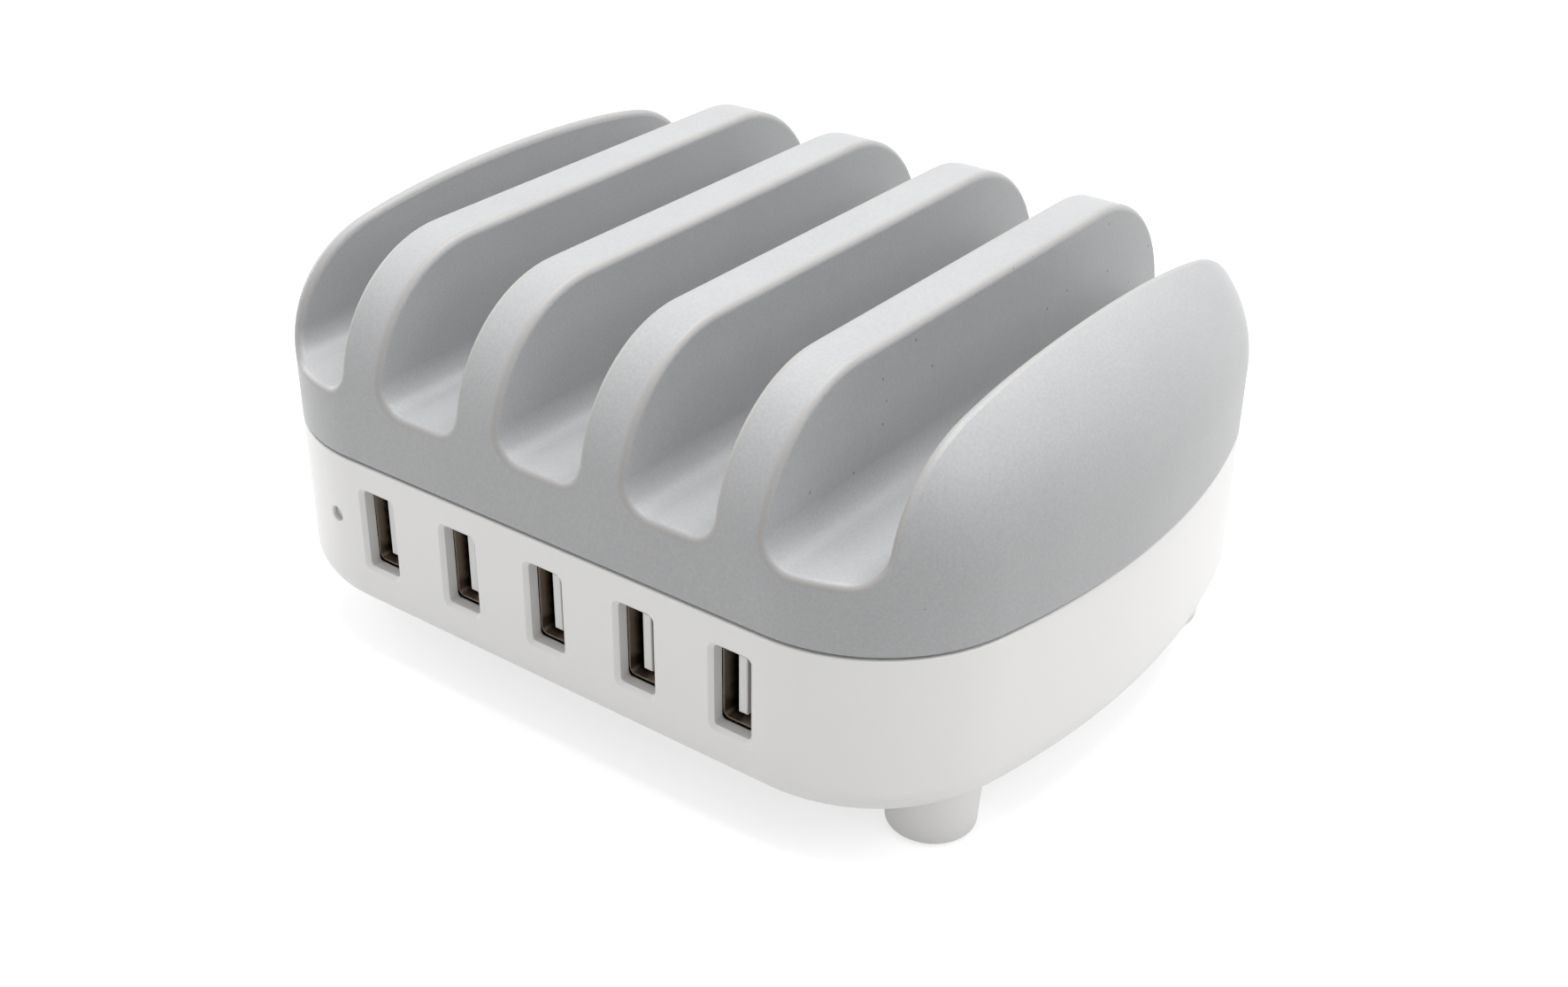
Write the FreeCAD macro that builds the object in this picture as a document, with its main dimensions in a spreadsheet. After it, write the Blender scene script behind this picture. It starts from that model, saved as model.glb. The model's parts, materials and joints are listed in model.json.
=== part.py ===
import FreeCAD, Part
import os
import re
import Sketcher

# A five-port charging station with a slotted rack on top.
# The frame stands on the foot pads: +Z is up, the ports face -Y, X runs along the row of ports.

PORT_COUNT = 5
SLOT_COUNT = 5

# Driving dimensions in millimetres, angles in degrees.
SIZES = {
    # whole body
    "base_width": 162.3,
    "cover_overhang": 0.45,
    "body_depth": 126.6,
    "corner_run": 34.5,
    "corner_radius": 30.3,
    "total_height": 79.2,
    "cut_overrun": 1.0,
    # base tray
    "base_bottom": 10.1,
    "base_height": 30.9,
    "base_wall": 2.8,
    "base_floor": 2.3,
    "base_bottom_radius": 5.4,
    "rim_radius": 0.35,
    "seam_gap": 0.5,
    # feet, pads and case screws
    "foot_side_inset": 16.75,
    "foot_end_inset": 23.2,
    "foot_radius": 7.7,
    "foot_draft": 4.0,
    "foot_edge_radius": 0.7,
    "pad_radius": 5.8,
    "pad_thickness": 1.6,
    "pad_proud": 0.4,
    "pad_gap": 0.15,
    "pad_edge_radius": 0.3,
    "screw_head_radius": 2.75,
    "screw_head_height": 2.0,
    "screw_head_gap": 0.4,
    "screw_radius": 1.45,
    "screw_gap": 0.15,
    "screw_seat_height": 5.6,
    "screw_length": 18.0,
    "boss_radius": 4.0,
    "tower_height": 5.0,
    # rack cover and the frame under it
    "end_wall": 17.55,
    "divider_width": 9.7,
    "slot_floor_rise": 12.4,
    "slot_corner_radius": 5.0,
    "cover_round_radius": 25.0,
    "cover_lip_radius": 1.2,
    "cover_hem_radius": 0.4,
    "cover_skin": 2.2,
    "skin_gap": 0.3,
    "deck_thickness": 2.0,
    "flange_inset": 1.2,
    "lip_height": 2.2,
    "lip_thickness": 2.0,
    "fit_gap": 0.2,
    # port mouths in the base
    "port_side_inset": 41.15,
    "port_height": 27.6,
    "mouth_width": 7.5,
    "mouth_height": 15.6,
    "mouth_radius": 0.8,
    "mouth_chamfer": 0.75,
    # sockets
    "usb_width": 5.7,
    "usb_height": 13.1,
    "usb_length": 14.0,
    "usb_wall": 0.3,
    "usb_radius": 0.6,
    "usb_flare": 0.7,
    "usb_flare_length": 3.0,
    "spring_slot_width": 1.6,
    "spring_slot_length": 4.6,
    "spring_slot_start": 4.0,
    "spring_slot_spacing": 5.6,
    "insulator_gap": 0.1,
    "insulator_length": 4.5,
    "tongue_width": 1.84,
    "tongue_height": 11.1,
    "tongue_setback": 0.5,
    "tongue_side_gap": 1.55,
    "tongue_edge_radius": 0.3,
    "contact_width": 1.0,
    "contact_thickness": 0.25,
    "contact_setback": 1.2,
    "contact_inner": 1.0,
    "contact_outer": 3.5,
    # pilot light
    "led_inset_share": 0.72175,
    "led_rise": 0.3,
    "led_hole_radius": 1.45,
    "led_chamfer": 0.25,
    "pipe_gap": 0.1,
    "pipe_recess": 1.6,
    "led_radius": 1.5,
    "led_length": 4.2,
    "led_flange_radius": 1.9,
    "led_flange_length": 0.8,
    "holder_width": 5.4,
    "holder_depth": 4.0,
    "holder_roof": 1.2,
    # circuit board
    "board_port_margin": 16.0,
    "board_thickness": 1.6,
    "board_front_gap": 3.2,
    "board_back_gap": 11.5,
    "board_corner": 9.0,
    "post_side_gap": 6.0,
    "post_front_gap": 15.5,
    "post_back_gap": 6.0,
    "post_radius": 3.4,
    "board_screw_radius": 1.1,
    "board_screw_gap": 0.12,
    "board_screw_length": 7.0,
    "board_screw_head_radius": 2.2,
    "board_screw_head_height": 1.6,
    # back panel recess, inlet and switch
    "recess_width": 54.0,
    "recess_height": 18.0,
    "recess_depth": 2.4,
    "recess_radius": 2.5,
    "panel_thickness": 2.2,
    "panel_margin": 1.4,
    "panel_gap": 0.2,
    "inlet_x": -11.5,
    "inlet_width": 22.0,
    "inlet_length": 18.0,
    "inlet_proud": 1.2,
    "inlet_edge_radius": 1.2,
    "inlet_well_depth": 11.5,
    "inlet_lobe_radius": 4.1,
    "inlet_waist": 6.2,
    "pin_spacing": 8.6,
    "pin_radius": 1.2,
    "pin_length": 9.5,
    "pin_tip_radius": 0.5,
    "switch_x": 14.5,
    "switch_width": 14.0,
    "switch_length": 13.0,
    "switch_proud": 1.2,
    "switch_edge_radius": 0.8,
    "switch_well_depth": 6.2,
    "rocker_width": 9.6,
    "rocker_radius": 4.85,
    "rocker_gap": 0.3,
    "rocker_middle": 2.0,
    "rocker_end": 3.3,
    "rocker_end_height": 3.5,
    "rocker_back": 1.8,
    "rocker_back_height": 4.2,
    "rocker_tilt": 8.0,
    "rocker_pivot_depth": 3.0,
    "trunnion_radius": 1.0,
    "trunnion_length": 1.2,
    "trunnion_gap": 0.08,
    # power parts on the board
    "part_gap": 0.3,
    "core_x_share": -0.0714,
    "core_y": -4.0,
    "core_width": 26.0,
    "core_depth": 15.0,
    "core_height": 22.0,
    "core_leg": 4.5,
    "winding_overhang": 4.0,
    "winding_edge_radius": 1.5,
    "bulk_x_share": 0.2143,
    "bulk_y": 8.0,
    "bulk_spacing": 15.0,
    "bulk_radius": 6.25,
    "bulk_height": 22.0,
    "can_edge_radius": 0.8,
    "can_groove_height": 2.6,
    "can_groove_radius": 0.5,
    "output_x_share": -0.3571,
    "output_y": -22.0,
    "output_spacing": 12.5,
    "output_radius": 5.0,
    "output_height": 16.0,
    "choke_x_share": 0.0536,
    "choke_y": 24.0,
    "choke_width": 15.0,
    "choke_depth": 12.0,
    "choke_height": 15.0,
    "choke_leg": 3.2,
    "filter_x_share": -0.1429,
    "filter_y": 24.0,
    "filter_width": 17.5,
    "filter_depth": 8.0,
    "filter_height": 14.0,
    "filter_edge_radius": 0.8,
    "sink_x_share": -0.3036,
    "sink_y": 8.0,
    "sink_width": 6.0,
    "sink_depth": 34.0,
    "sink_height": 24.0,
    "sink_web": 2.0,
    "sink_fin": 1.4,
    "sink_pitch": 5.4,
    "transistor_width": 4.4,
    "transistor_depth": 10.2,
    "transistor_height": 15.5,
    "transistor_tab": 1.3,
    "transistor_tab_height": 6.0,
    "bridge_x_share": 0.2679,
    "bridge_y": 30.0,
    "bridge_width": 15.0,
    "bridge_depth": 3.6,
    "bridge_height": 11.0,
    "bridge_notch": 2.0,
    "fuse_x_share": 0.3929,
    "fuse_y": 4.0,
    "fuse_radius": 2.6,
    "fuse_length": 20.0,
    "fuse_cap_radius": 3.0,
    "fuse_cap_length": 5.0,
    "chip_width": 5.0,
    "chip_depth": 4.0,
    "chip_height": 1.6,
    "chip_back_gap": 4.0,
    "chip_edge_size": 0.3,
}

# Sizes and places that follow from the ones above, used by name like them.
FOLLOWING = {
    "cover_width": "(base_width + 2 * cover_overhang)",
    "front_flat": "(base_width - 2 * corner_run)",
    "foot_x": "(base_width / 2 - foot_side_inset)",
    "foot_y": "(body_depth / 2 - foot_end_inset)",
    "cover_height": "(total_height - base_bottom - base_height - seam_gap)",
    "slot_depth": "(cover_height - slot_floor_rise)",
    "slot_pitch": f"((cover_width - 2 * end_wall + divider_width) / {SLOT_COUNT})",
    "port_pitch": f"((base_width - 2 * port_side_inset) / {PORT_COUNT - 1})",
    "led_x": "(led_inset_share * port_side_inset - base_width / 2)",
    "board_width": "(base_width - 2 * port_side_inset + 2 * board_port_margin)",
    "post_x": "(board_width / 2 - post_side_gap)",
}
for power_part in ("core", "bulk", "output", "choke", "filter", "sink", "bridge", "fuse"):
    FOLLOWING[power_part + "_x"] = f"({power_part}_x_share * board_width)"

SINK_FINS = 6
VECTOR = FreeCAD.Vector
UP = VECTOR(0, 0, 1)
ALONG_X = VECTOR(1, 0, 0)
RIGHT_ANGLE = 90

doc = FreeCAD.newDocument("charging_station")
sheet = doc.addObject("Spreadsheet::Sheet", "sizes")
sums = doc.addObject("Spreadsheet::Sheet", "sums")
SUM_CELL = "A1"
for row, (alias, value) in enumerate(SIZES.items(), start=1):
    sheet.set(f"A{row}", alias)
    sheet.set(f"B{row}", str(value))
    sheet.setAlias(f"B{row}", alias)
doc.recompute()


# Sizes as formulas

worked_out = {}


def number(formula):
    """Value of a formula of named sizes, worked out on a sheet of its own and kept."""
    if formula not in worked_out:
        sums.set(SUM_CELL, "=" + linked(formula))
        sums.recompute()
        worked_out[formula] = float(sums.get(SUM_CELL))
    return worked_out[formula]


def linked(formula):
    """The same formula with every name pointing at its cell in the sheet."""
    def spell(word):
        name = word.group()
        if name in FOLLOWING:
            return linked(FOLLOWING[name])
        return "sizes." + name if name in SIZES else name
    return re.sub(r"[a-z_]+", spell, formula)


def bind(target, attribute, formula):
    target.setExpression(attribute, linked(formula))


# Places that several pieces share, as formulas.
BASE_TOP = "(base_bottom + base_height)"
BASE_INSIDE = "(base_bottom + base_floor)"
TOWER_TOP = "(base_bottom + base_floor + tower_height)"
COVER_BOTTOM = "(base_bottom + base_height + seam_gap)"
FRONT = "(body_depth / 2)"
BOARD_TOP = "(port_height - usb_height / 2)"
BOARD_BOTTOM = "(port_height - usb_height / 2 - board_thickness)"
SOCKET_FRONT = "(body_depth / 2 - base_wall)"
BOARD_FRONT = "(body_depth / 2 - base_wall - board_front_gap)"
BOARD_BACK = "(body_depth / 2 - board_back_gap)"
PANEL_FACE = "(body_depth / 2 - recess_depth)"
PANEL_BACK = "(body_depth / 2 - recess_depth - panel_thickness)"
CONNECTOR_HEIGHT = "(2 * (port_height - " + BOARD_TOP + "))"
ROUNDING = "min(cover_round_radius; cover_height - slot_floor_rise / 2)"
DECK_TOP = "(total_height - slot_depth - cover_skin - skin_gap)"


# Sketch helpers

def new_body(name):
    body = doc.addObject("PartDesign::Body", name)
    body.Label = name
    return body


def new_sketch(body, role, offset="0"):
    """Sketch on one of the body's own origin planes, moved along the plane's normal."""
    sketch = body.newObject("Sketcher::SketchObject", body.Name + "_sketch")
    support = next(item for item in body.Origin.OriginFeatures if item.Role == role)
    sketch.AttachmentSupport = [(support, "")]
    sketch.MapMode = "FlatFace"
    bind(sketch, "AttachmentOffset.Base.z", offset)
    return sketch


def fix(sketch, kind, formula, *places):
    """One dimension of a sketch, bound to its formula."""
    index = sketch.addConstraint(Sketcher.Constraint(kind, *places, number(formula)))
    bind(sketch, f"Constraints[{index}]", formula)


def pin_x(sketch, geometry, point, formula):
    fix(sketch, "DistanceX", formula, -1, 1, geometry, point)


def pin_y(sketch, geometry, point, formula):
    fix(sketch, "DistanceY", formula, -1, 1, geometry, point)


def add_line(sketch, start, end):
    return sketch.addGeometry(Part.LineSegment(VECTOR(*start, 0), VECTOR(*end, 0)))


def add_arc(sketch, start, middle, end):
    arc = Part.Arc(VECTOR(*start, 0), VECTOR(*middle, 0), VECTOR(*end, 0))
    return sketch.addGeometry(arc)


def end_points(sketch, geometry):
    """Places of a piece of geometry's two ends, each with its point number."""
    return [(sketch.getPoint(geometry, point), point) for point in (1, 2)]


def join(sketch, first, second, smooth):
    """Joins two pieces of geometry at their nearest ends, tangent where smooth."""
    pairs = [(a.distanceToPoint(b), i, j)
             for a, i in end_points(sketch, first) for b, j in end_points(sketch, second)]
    _, i, j = min(pairs)
    kind = "Tangent" if smooth else "Coincident"
    sketch.addConstraint(Sketcher.Constraint(kind, first, i, second, j))


def join_loop(sketch, loop, smooth):
    for place, geometry in enumerate(loop):
        join(sketch, geometry, loop[(place + 1) % len(loop)], smooth)


def circle(sketch, x, y, radius):
    centre = VECTOR(number(x), number(y), 0)
    index = sketch.addGeometry(Part.Circle(centre, UP, number(radius)))
    fix(sketch, "Radius", radius, index)
    pin_x(sketch, index, 3, x)
    pin_y(sketch, index, 3, y)


def rectangle(sketch, left, right, bottom, top):
    x0, x1, y0, y1 = number(left), number(right), number(bottom), number(top)
    corners = [(x0, y0), (x1, y0), (x1, y1), (x0, y1)]
    lines = [add_line(sketch, corners[i], corners[(i + 1) % len(corners)]) for i in range(len(corners))]
    join_loop(sketch, lines, smooth=False)
    for place, index in enumerate(lines):
        kind = "Vertical" if place % 2 else "Horizontal"
        sketch.addConstraint(Sketcher.Constraint(kind, index))
    pin_x(sketch, lines[0], 1, left)
    pin_x(sketch, lines[1], 1, right)
    pin_y(sketch, lines[0], 1, bottom)
    pin_y(sketch, lines[2], 1, top)


def rounded_rectangle(sketch, left, right, bottom, top, radius):
    x0, x1, y0, y1 = number(left), number(right), number(bottom), number(top)
    size = number(radius)
    bulge = size * (1 - 0.5 ** 0.5)
    lines = [add_line(sketch, (x0 + size, y0), (x1 - size, y0)),
             add_line(sketch, (x1, y0 + size), (x1, y1 - size)),
             add_line(sketch, (x1 - size, y1), (x0 + size, y1)),
             add_line(sketch, (x0, y1 - size), (x0, y0 + size))]
    arcs = [add_arc(sketch, (x1 - size, y0), (x1 - bulge, y0 + bulge), (x1, y0 + size)),
            add_arc(sketch, (x1, y1 - size), (x1 - bulge, y1 - bulge), (x1 - size, y1)),
            add_arc(sketch, (x0 + size, y1), (x0 + bulge, y1 - bulge), (x0, y1 - size)),
            add_arc(sketch, (x0, y0 + size), (x0 + bulge, y0 + bulge), (x0 + size, y0))]
    loop = [item for pair in zip(lines, arcs) for item in pair]
    join_loop(sketch, loop, smooth=True)
    for place, index in enumerate(lines):
        kind = "Vertical" if place % 2 else "Horizontal"
        sketch.addConstraint(Sketcher.Constraint(kind, index))
    for index in arcs[1:]:
        sketch.addConstraint(Sketcher.Constraint("Equal", arcs[0], index))
    fix(sketch, "Radius", radius, arcs[0])
    pin_y(sketch, lines[0], 1, bottom)
    pin_x(sketch, lines[1], 1, right)
    pin_y(sketch, lines[2], 1, top)
    pin_x(sketch, lines[3], 1, left)


def outline(sketch, width, inset="0"):
    """Plan outline of the body, set in by inset: flat front and back, round corners, bowed sides."""
    run = f"({width} - front_flat) / 2"
    rise = "(body_depth / 2 - corner_radius)"
    bow = f"((({run})^2 + {rise}^2 - corner_radius^2) / (2 * ({run} - corner_radius)))"
    half, front = number("front_flat / 2"), number(f"body_depth / 2 - {inset}")
    corner, side = number(f"corner_radius - {inset}"), number(f"{bow} - {inset}")
    reach = number(f"{width} / 2 - {inset}")
    side_centre, corner_centre = VECTOR(reach - side, 0, 0), VECTOR(half, corner - front, 0)
    lean = (corner_centre - side_centre).normalize()
    meet = corner_centre + lean * corner
    middle = corner_centre + (lean + VECTOR(0, -1, 0)).normalize() * corner

    def quarter(sign_x, sign_y):
        ends = [(half, -front), (middle.x, middle.y), (meet.x, meet.y)]
        return add_arc(sketch, *[(x * sign_x, y * -sign_y) for x, y in ends])

    def flank(sign):
        ends = [(meet.x, meet.y), (reach, 0), (meet.x, -meet.y)]
        return add_arc(sketch, *[(x * sign, y) for x, y in ends])

    front_line = add_line(sketch, (-half, -front), (half, -front))
    loop = [front_line, quarter(1, -1), flank(1), quarter(1, 1)]
    loop += [add_line(sketch, (half, front), (-half, front)), quarter(-1, 1), flank(-1), quarter(-1, -1)]
    front_line, _, right, _, back_line, _, left, _ = loop
    corners = [loop[i] for i in (1, 3, 5, 7)]
    join_loop(sketch, loop, smooth=True)
    for line in (front_line, back_line):
        sketch.addConstraint(Sketcher.Constraint("Horizontal", line))
    for corner_arc in corners[1:]:
        sketch.addConstraint(Sketcher.Constraint("Equal", corners[0], corner_arc))
    sketch.addConstraint(Sketcher.Constraint("Equal", right, left))
    fix(sketch, "Radius", f"corner_radius - {inset}", corners[0])
    fix(sketch, "Radius", f"{bow} - {inset}", right)
    pin_x(sketch, front_line, 1, "-front_flat / 2")
    pin_x(sketch, front_line, 2, "front_flat / 2")
    pin_y(sketch, front_line, 1, f"-body_depth / 2 + {inset}")
    pin_x(sketch, back_line, 1, "front_flat / 2")
    pin_x(sketch, back_line, 2, "-front_flat / 2")
    pin_y(sketch, back_line, 1, f"body_depth / 2 - {inset}")
    return sketch


# Feature helpers

def finish_feature(body, feature, grows):
    """Works a feature out and stops if it left the solid's volume as it was."""
    before = body.Shape.Volume if not body.Shape.isNull() else 0
    body.Tip = feature
    doc.recompute()
    change = body.Shape.Volume - before
    if (change > 0) != grows or change == 0:
        raise RuntimeError(f"{feature.Name} changed the volume by {change}")
    return feature


def pad(body, sketch, length, backwards=False, draft=None):
    feature = body.newObject("PartDesign::Pad", body.Name + "_pad")
    feature.Profile = sketch
    feature.Reversed = backwards
    bind(feature, "Length", length)
    if draft:
        bind(feature, "TaperAngle", draft)
    return finish_feature(body, feature, grows=True)


def pocket(body, sketch, length, backwards=False):
    feature = body.newObject("PartDesign::Pocket", body.Name + "_pocket")
    feature.Profile = sketch
    feature.Reversed = backwards
    bind(feature, "Length", length)
    return finish_feature(body, feature, grows=False)


def loft(body, kind, first, second):
    feature = body.newObject("PartDesign::" + kind, body.Name + "_loft")
    feature.Profile = first
    feature.Sections = [second]
    feature.Ruled = True
    return finish_feature(body, feature, grows=kind == "AdditiveLoft")


def row_pattern(body, feature, sketch, pitch, count):
    """Repeats a pocket along the sketch's own X axis."""
    pattern = body.newObject("PartDesign::LinearPattern", body.Name + "_row")
    pattern.Originals = [feature]
    pattern.Direction = (sketch, ["H_Axis"])
    pattern.Occurrences = count
    bind(pattern, "Length", f"{pitch} * {count - 1}")
    return finish_feature(body, pattern, grows=False)


def edges_where(feature, test):
    names = []
    for place, edge in enumerate(feature.Shape.Edges, start=1):
        if test(edge):
            names.append(f"Edge{place}")
    return names


def dress(body, kind, size_name, size, base, names):
    """Rounds or chamfers the named edges of the feature base."""
    if not names:
        raise RuntimeError(f"{body.Name} has no edges to dress with {size}")
    feature = body.newObject("PartDesign::" + kind, f"{body.Name}_{kind.lower()}")
    feature.Base = (base, names)
    bind(feature, size_name, size)
    body.Tip = feature
    doc.recompute()
    return feature


def fillet(body, base, radius, test):
    return dress(body, "Fillet", "Radius", radius, base, edges_where(base, test))


def chamfer(body, base, size, test):
    return dress(body, "Chamfer", "Size", size, base, edges_where(base, test))


NEAR = 1e-4


def level(edge, axis, formula):
    """True where the whole edge lies at one height along an axis: 0 is X, 1 is Y, 2 is Z."""
    place = number(formula)
    box = edge.BoundBox
    low = (box.XMin, box.YMin, box.ZMin)[axis]
    high = (box.XMax, box.YMax, box.ZMax)[axis]
    return abs(low - place) < NEAR and abs(high - place) < NEAR


def upright(edge):
    box = edge.BoundBox
    return box.XLength < NEAR and box.YLength < NEAR


def place(target, x, y, z):
    bind(target, "Placement.Base.x", x)
    bind(target, "Placement.Base.y", y)
    bind(target, "Placement.Base.z", z)


def box(name, x, y, z, length, width, height):
    """Box whose low corner is at x, y, z."""
    solid = doc.addObject("Part::Box", name)
    solid.Label = name
    bind(solid, "Length", length)
    bind(solid, "Width", width)
    bind(solid, "Height", height)
    place(solid, x, y, z)
    return solid


def cylinder(name, x, y, z, radius, height, turn=None):
    """Cylinder from x, y, z along +Z, or along the axis that turn lays it on."""
    solid = doc.addObject("Part::Cylinder", name)
    solid.Label = name
    bind(solid, "Radius", radius)
    bind(solid, "Height", height)
    if turn:
        solid.Placement.Rotation = turn
    place(solid, x, y, z)
    return solid


def combine(kind, name, pieces):
    """Part boolean or group of separate solids under one name."""
    solid = doc.addObject("Part::" + kind, name)
    solid.Label = name
    if kind == "Cut":
        solid.Base, solid.Tool = pieces
    elif kind == "Compound":
        solid.Links = pieces
    else:
        solid.Shapes = pieces
    doc.recompute()
    return solid


LIE_BACK = FreeCAD.Rotation(ALONG_X, -RIGHT_ANGLE)
SIGNS = (-1, 1)
CORNERS = [(x, y) for y in SIGNS for x in SIGNS]
nodes = []


# Base tray

def base_shell():
    body = new_body("base_shell")
    sketch = outline(new_sketch(body, "XY_Plane", "base_bottom"), "base_width")
    block = pad(body, sketch, "base_height")
    block = fillet(body, block, "base_bottom_radius", lambda edge: level(edge, 2, "base_bottom"))
    block = fillet(body, block, "rim_radius", lambda edge: level(edge, 2, BASE_TOP))

    feet = new_sketch(body, "XY_Plane", "pad_proud")
    for x, y in CORNERS:
        circle(feet, f"{x} * foot_x", f"{y} * foot_y", "foot_radius")
    block = pad(body, feet, "base_bottom + base_floor / 2 - pad_proud", draft="foot_draft")
    block = fillet(body, block, "foot_edge_radius", lambda edge: level(edge, 2, "pad_proud"))

    cavity = outline(new_sketch(body, "XY_Plane", BASE_TOP), "base_width", "base_wall")
    block = pocket(body, cavity, "base_height - base_floor")
    block = fillet(body, block, "base_bottom_radius - base_wall",
                   lambda edge: level(edge, 2, BASE_INSIDE))

    towers = new_sketch(body, "XY_Plane", "base_bottom + base_floor / 2")
    for x, y in CORNERS:
        circle(towers, f"{x} * foot_x", f"{y} * foot_y", "boss_radius")
    pad(body, towers, f"{TOWER_TOP} - base_bottom - base_floor / 2")

    back_plate(body)
    posts(body)
    screw_wells(body)
    port_mouths(body)
    pilot_hole(body)
    nodes.append(body)


def back_plate(body):
    """Wall round the inlet and the switch, thickened inside and set in from the back."""
    reach = "recess_width / 2 + panel_margin"
    rise = "recess_height / 2 + panel_margin"
    plate = new_sketch(body, "XZ_Plane", f"-{PANEL_BACK}")
    rounded_rectangle(plate, f"-({reach})", reach, f"port_height - ({rise})", f"port_height + {rise}",
                      "recess_radius")
    pad(body, plate, "recess_depth + panel_thickness - base_wall / 2", backwards=True)
    recess = new_sketch(body, "XZ_Plane", f"-({FRONT} + cut_overrun)")
    rounded_rectangle(recess, "-recess_width / 2", "recess_width / 2", "port_height - recess_height / 2",
                      "port_height + recess_height / 2", "recess_radius")
    pocket(body, recess, "recess_depth + cut_overrun", backwards=True)
    for middle, width, radius in (("inlet_x", "inlet_width", "inlet_edge_radius"),
                                  ("switch_x", "switch_width", "switch_edge_radius")):
        window = new_sketch(body, "XZ_Plane", f"-({FRONT} + cut_overrun)")
        rounded_rectangle(window, f"{middle} - {width} / 2 - panel_gap", f"{middle} + {width} / 2 + panel_gap",
                          f"{BOARD_TOP} - panel_gap", f"{BOARD_TOP} + {CONNECTOR_HEIGHT} + panel_gap",
                          f"{radius} + panel_gap")
        pocket(body, window, "recess_depth + panel_thickness + 2 * cut_overrun", backwards=True)


def posts(body):
    """Four posts that carry the circuit board, with holes for its screws."""
    post_sketch = new_sketch(body, "XY_Plane", "base_bottom + base_floor / 2")
    hole_sketch = new_sketch(body, "XY_Plane", BOARD_BOTTOM)
    for x, y in POSTS:
        circle(post_sketch, x, y, "post_radius")
        circle(hole_sketch, x, y, "board_screw_radius + board_screw_gap")
    pad(body, post_sketch, f"{BOARD_BOTTOM} - base_bottom - base_floor / 2")
    pocket(body, hole_sketch, "board_screw_length")


POSTS = [(f"{x} * post_x", y) for x in SIGNS
         for y in (f"post_front_gap - {BOARD_FRONT}", f"{BOARD_BACK} - post_back_gap")]


def screw_wells(body):
    """Pad recess, head well and clearance hole up through each foot."""
    for radius, top in (("pad_radius + pad_gap", "pad_thickness"),
                        ("screw_head_radius + screw_head_gap", "screw_seat_height"),
                        ("screw_radius + screw_gap", f"{TOWER_TOP} + cut_overrun")):
        well = new_sketch(body, "XY_Plane", "pad_proud - cut_overrun")
        for x, y in CORNERS:
            circle(well, f"{x} * foot_x", f"{y} * foot_y", radius)
        pocket(body, well, f"{top} - pad_proud + cut_overrun", backwards=True)


def port_mouths(body):
    first = f"-port_pitch * {PORT_COUNT - 1} / 2"
    mouth = new_sketch(body, "XZ_Plane", f"{FRONT} + cut_overrun")
    rounded_rectangle(mouth, f"{first} - mouth_width / 2", f"{first} + mouth_width / 2",
                      "port_height - mouth_height / 2", "port_height + mouth_height / 2", "mouth_radius")
    cut = pocket(body, mouth, "base_wall + 2 * cut_overrun")
    row = row_pattern(body, cut, mouth, "port_pitch", PORT_COUNT)
    reach = number("front_flat / 2")
    chamfer(body, row, "mouth_chamfer", lambda edge: level(edge, 1, f"-{FRONT}")
            and edge.BoundBox.ZMax < number(f"{BASE_TOP} - rim_radius")
            and edge.BoundBox.ZMin > number("base_bottom + base_bottom_radius")
            and abs(edge.CenterOfMass.x) < reach and edge.Length < number("mouth_height + mouth_width"))


def pilot_hole(body):
    hole = new_sketch(body, "XZ_Plane", f"{FRONT} + cut_overrun")
    circle(hole, "led_x", "port_height + led_rise", "led_hole_radius")
    cut = pocket(body, hole, "base_wall + 4 * cut_overrun")
    round_rim = number("led_hole_radius")
    chamfer(body, cut, "led_chamfer",
            lambda edge: edge.BoundBox.YMax < -number(SOCKET_FRONT) and edge.BoundBox.ZLength > round_rim
            and edge.BoundBox.ZLength < 3 * round_rim
            and abs(edge.CenterOfMass.x - number("led_x")) < round_rim)


# Rack: the soft cover and the stiff frame inside it

def comb(body, inset, bottom):
    """Rounded block with the five slots cut along it, set in all round by inset."""
    sketch = outline(new_sketch(body, "XY_Plane", bottom), "cover_width", inset)
    block = pad(body, sketch, f"total_height - {inset} - {bottom}")
    top = f"total_height - {inset}"
    block = fillet(body, block, f"{ROUNDING} - {inset}", lambda edge: level(edge, 2, top))
    middle = f"-slot_pitch * {SLOT_COUNT - 1} / 2"
    half = f"(slot_pitch - divider_width) / 2 + {inset}"
    slot = new_sketch(body, "XZ_Plane", f"{FRONT} + cut_overrun")
    floor = f"total_height - slot_depth - {inset}"
    rounded_rectangle(slot, f"{middle} - ({half})", f"{middle} + {half}", floor,
                      f"total_height + slot_corner_radius + {ROUNDING}",
                      f"slot_corner_radius + {inset}")
    cut = pocket(body, slot, "body_depth + 2 * cut_overrun")
    return row_pattern(body, cut, slot, "slot_pitch", SLOT_COUNT)


def is_slot_face(face):
    """Slot walls face sideways, floors face up at slot depth and their corners run along Y."""
    surface = face.Surface
    if isinstance(surface, Part.Plane):
        sideways = abs(abs(surface.Axis.x) - 1) < NEAR
        floor = abs(face.BoundBox.ZMax - number("total_height - slot_depth")) < NEAR
        return sideways or floor
    return isinstance(surface, Part.Cylinder) and abs(abs(surface.Axis.y) - 1) < NEAR \
        and abs(surface.Radius - number("slot_corner_radius")) < NEAR


def rack_cover():
    outside = new_body("cover_outside")
    block = comb(outside, "0", COVER_BOTTOM)
    shape = block.Shape
    mixed = [edge.hashCode() for edge in shape.Edges
             if len({is_slot_face(face) for face in shape.ancestorsOfType(edge, Part.Face)}) > 1]
    block = fillet(outside, block, "cover_lip_radius", lambda edge: edge.hashCode() in mixed)
    fillet(outside, block, "cover_hem_radius", lambda edge: level(edge, 2, COVER_BOTTOM))
    inside = new_body("cover_inside")
    comb(inside, "cover_skin", f"({COVER_BOTTOM} - cut_overrun)")
    nodes.append(combine("Cut", "rack_cover", [outside, inside]))


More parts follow.
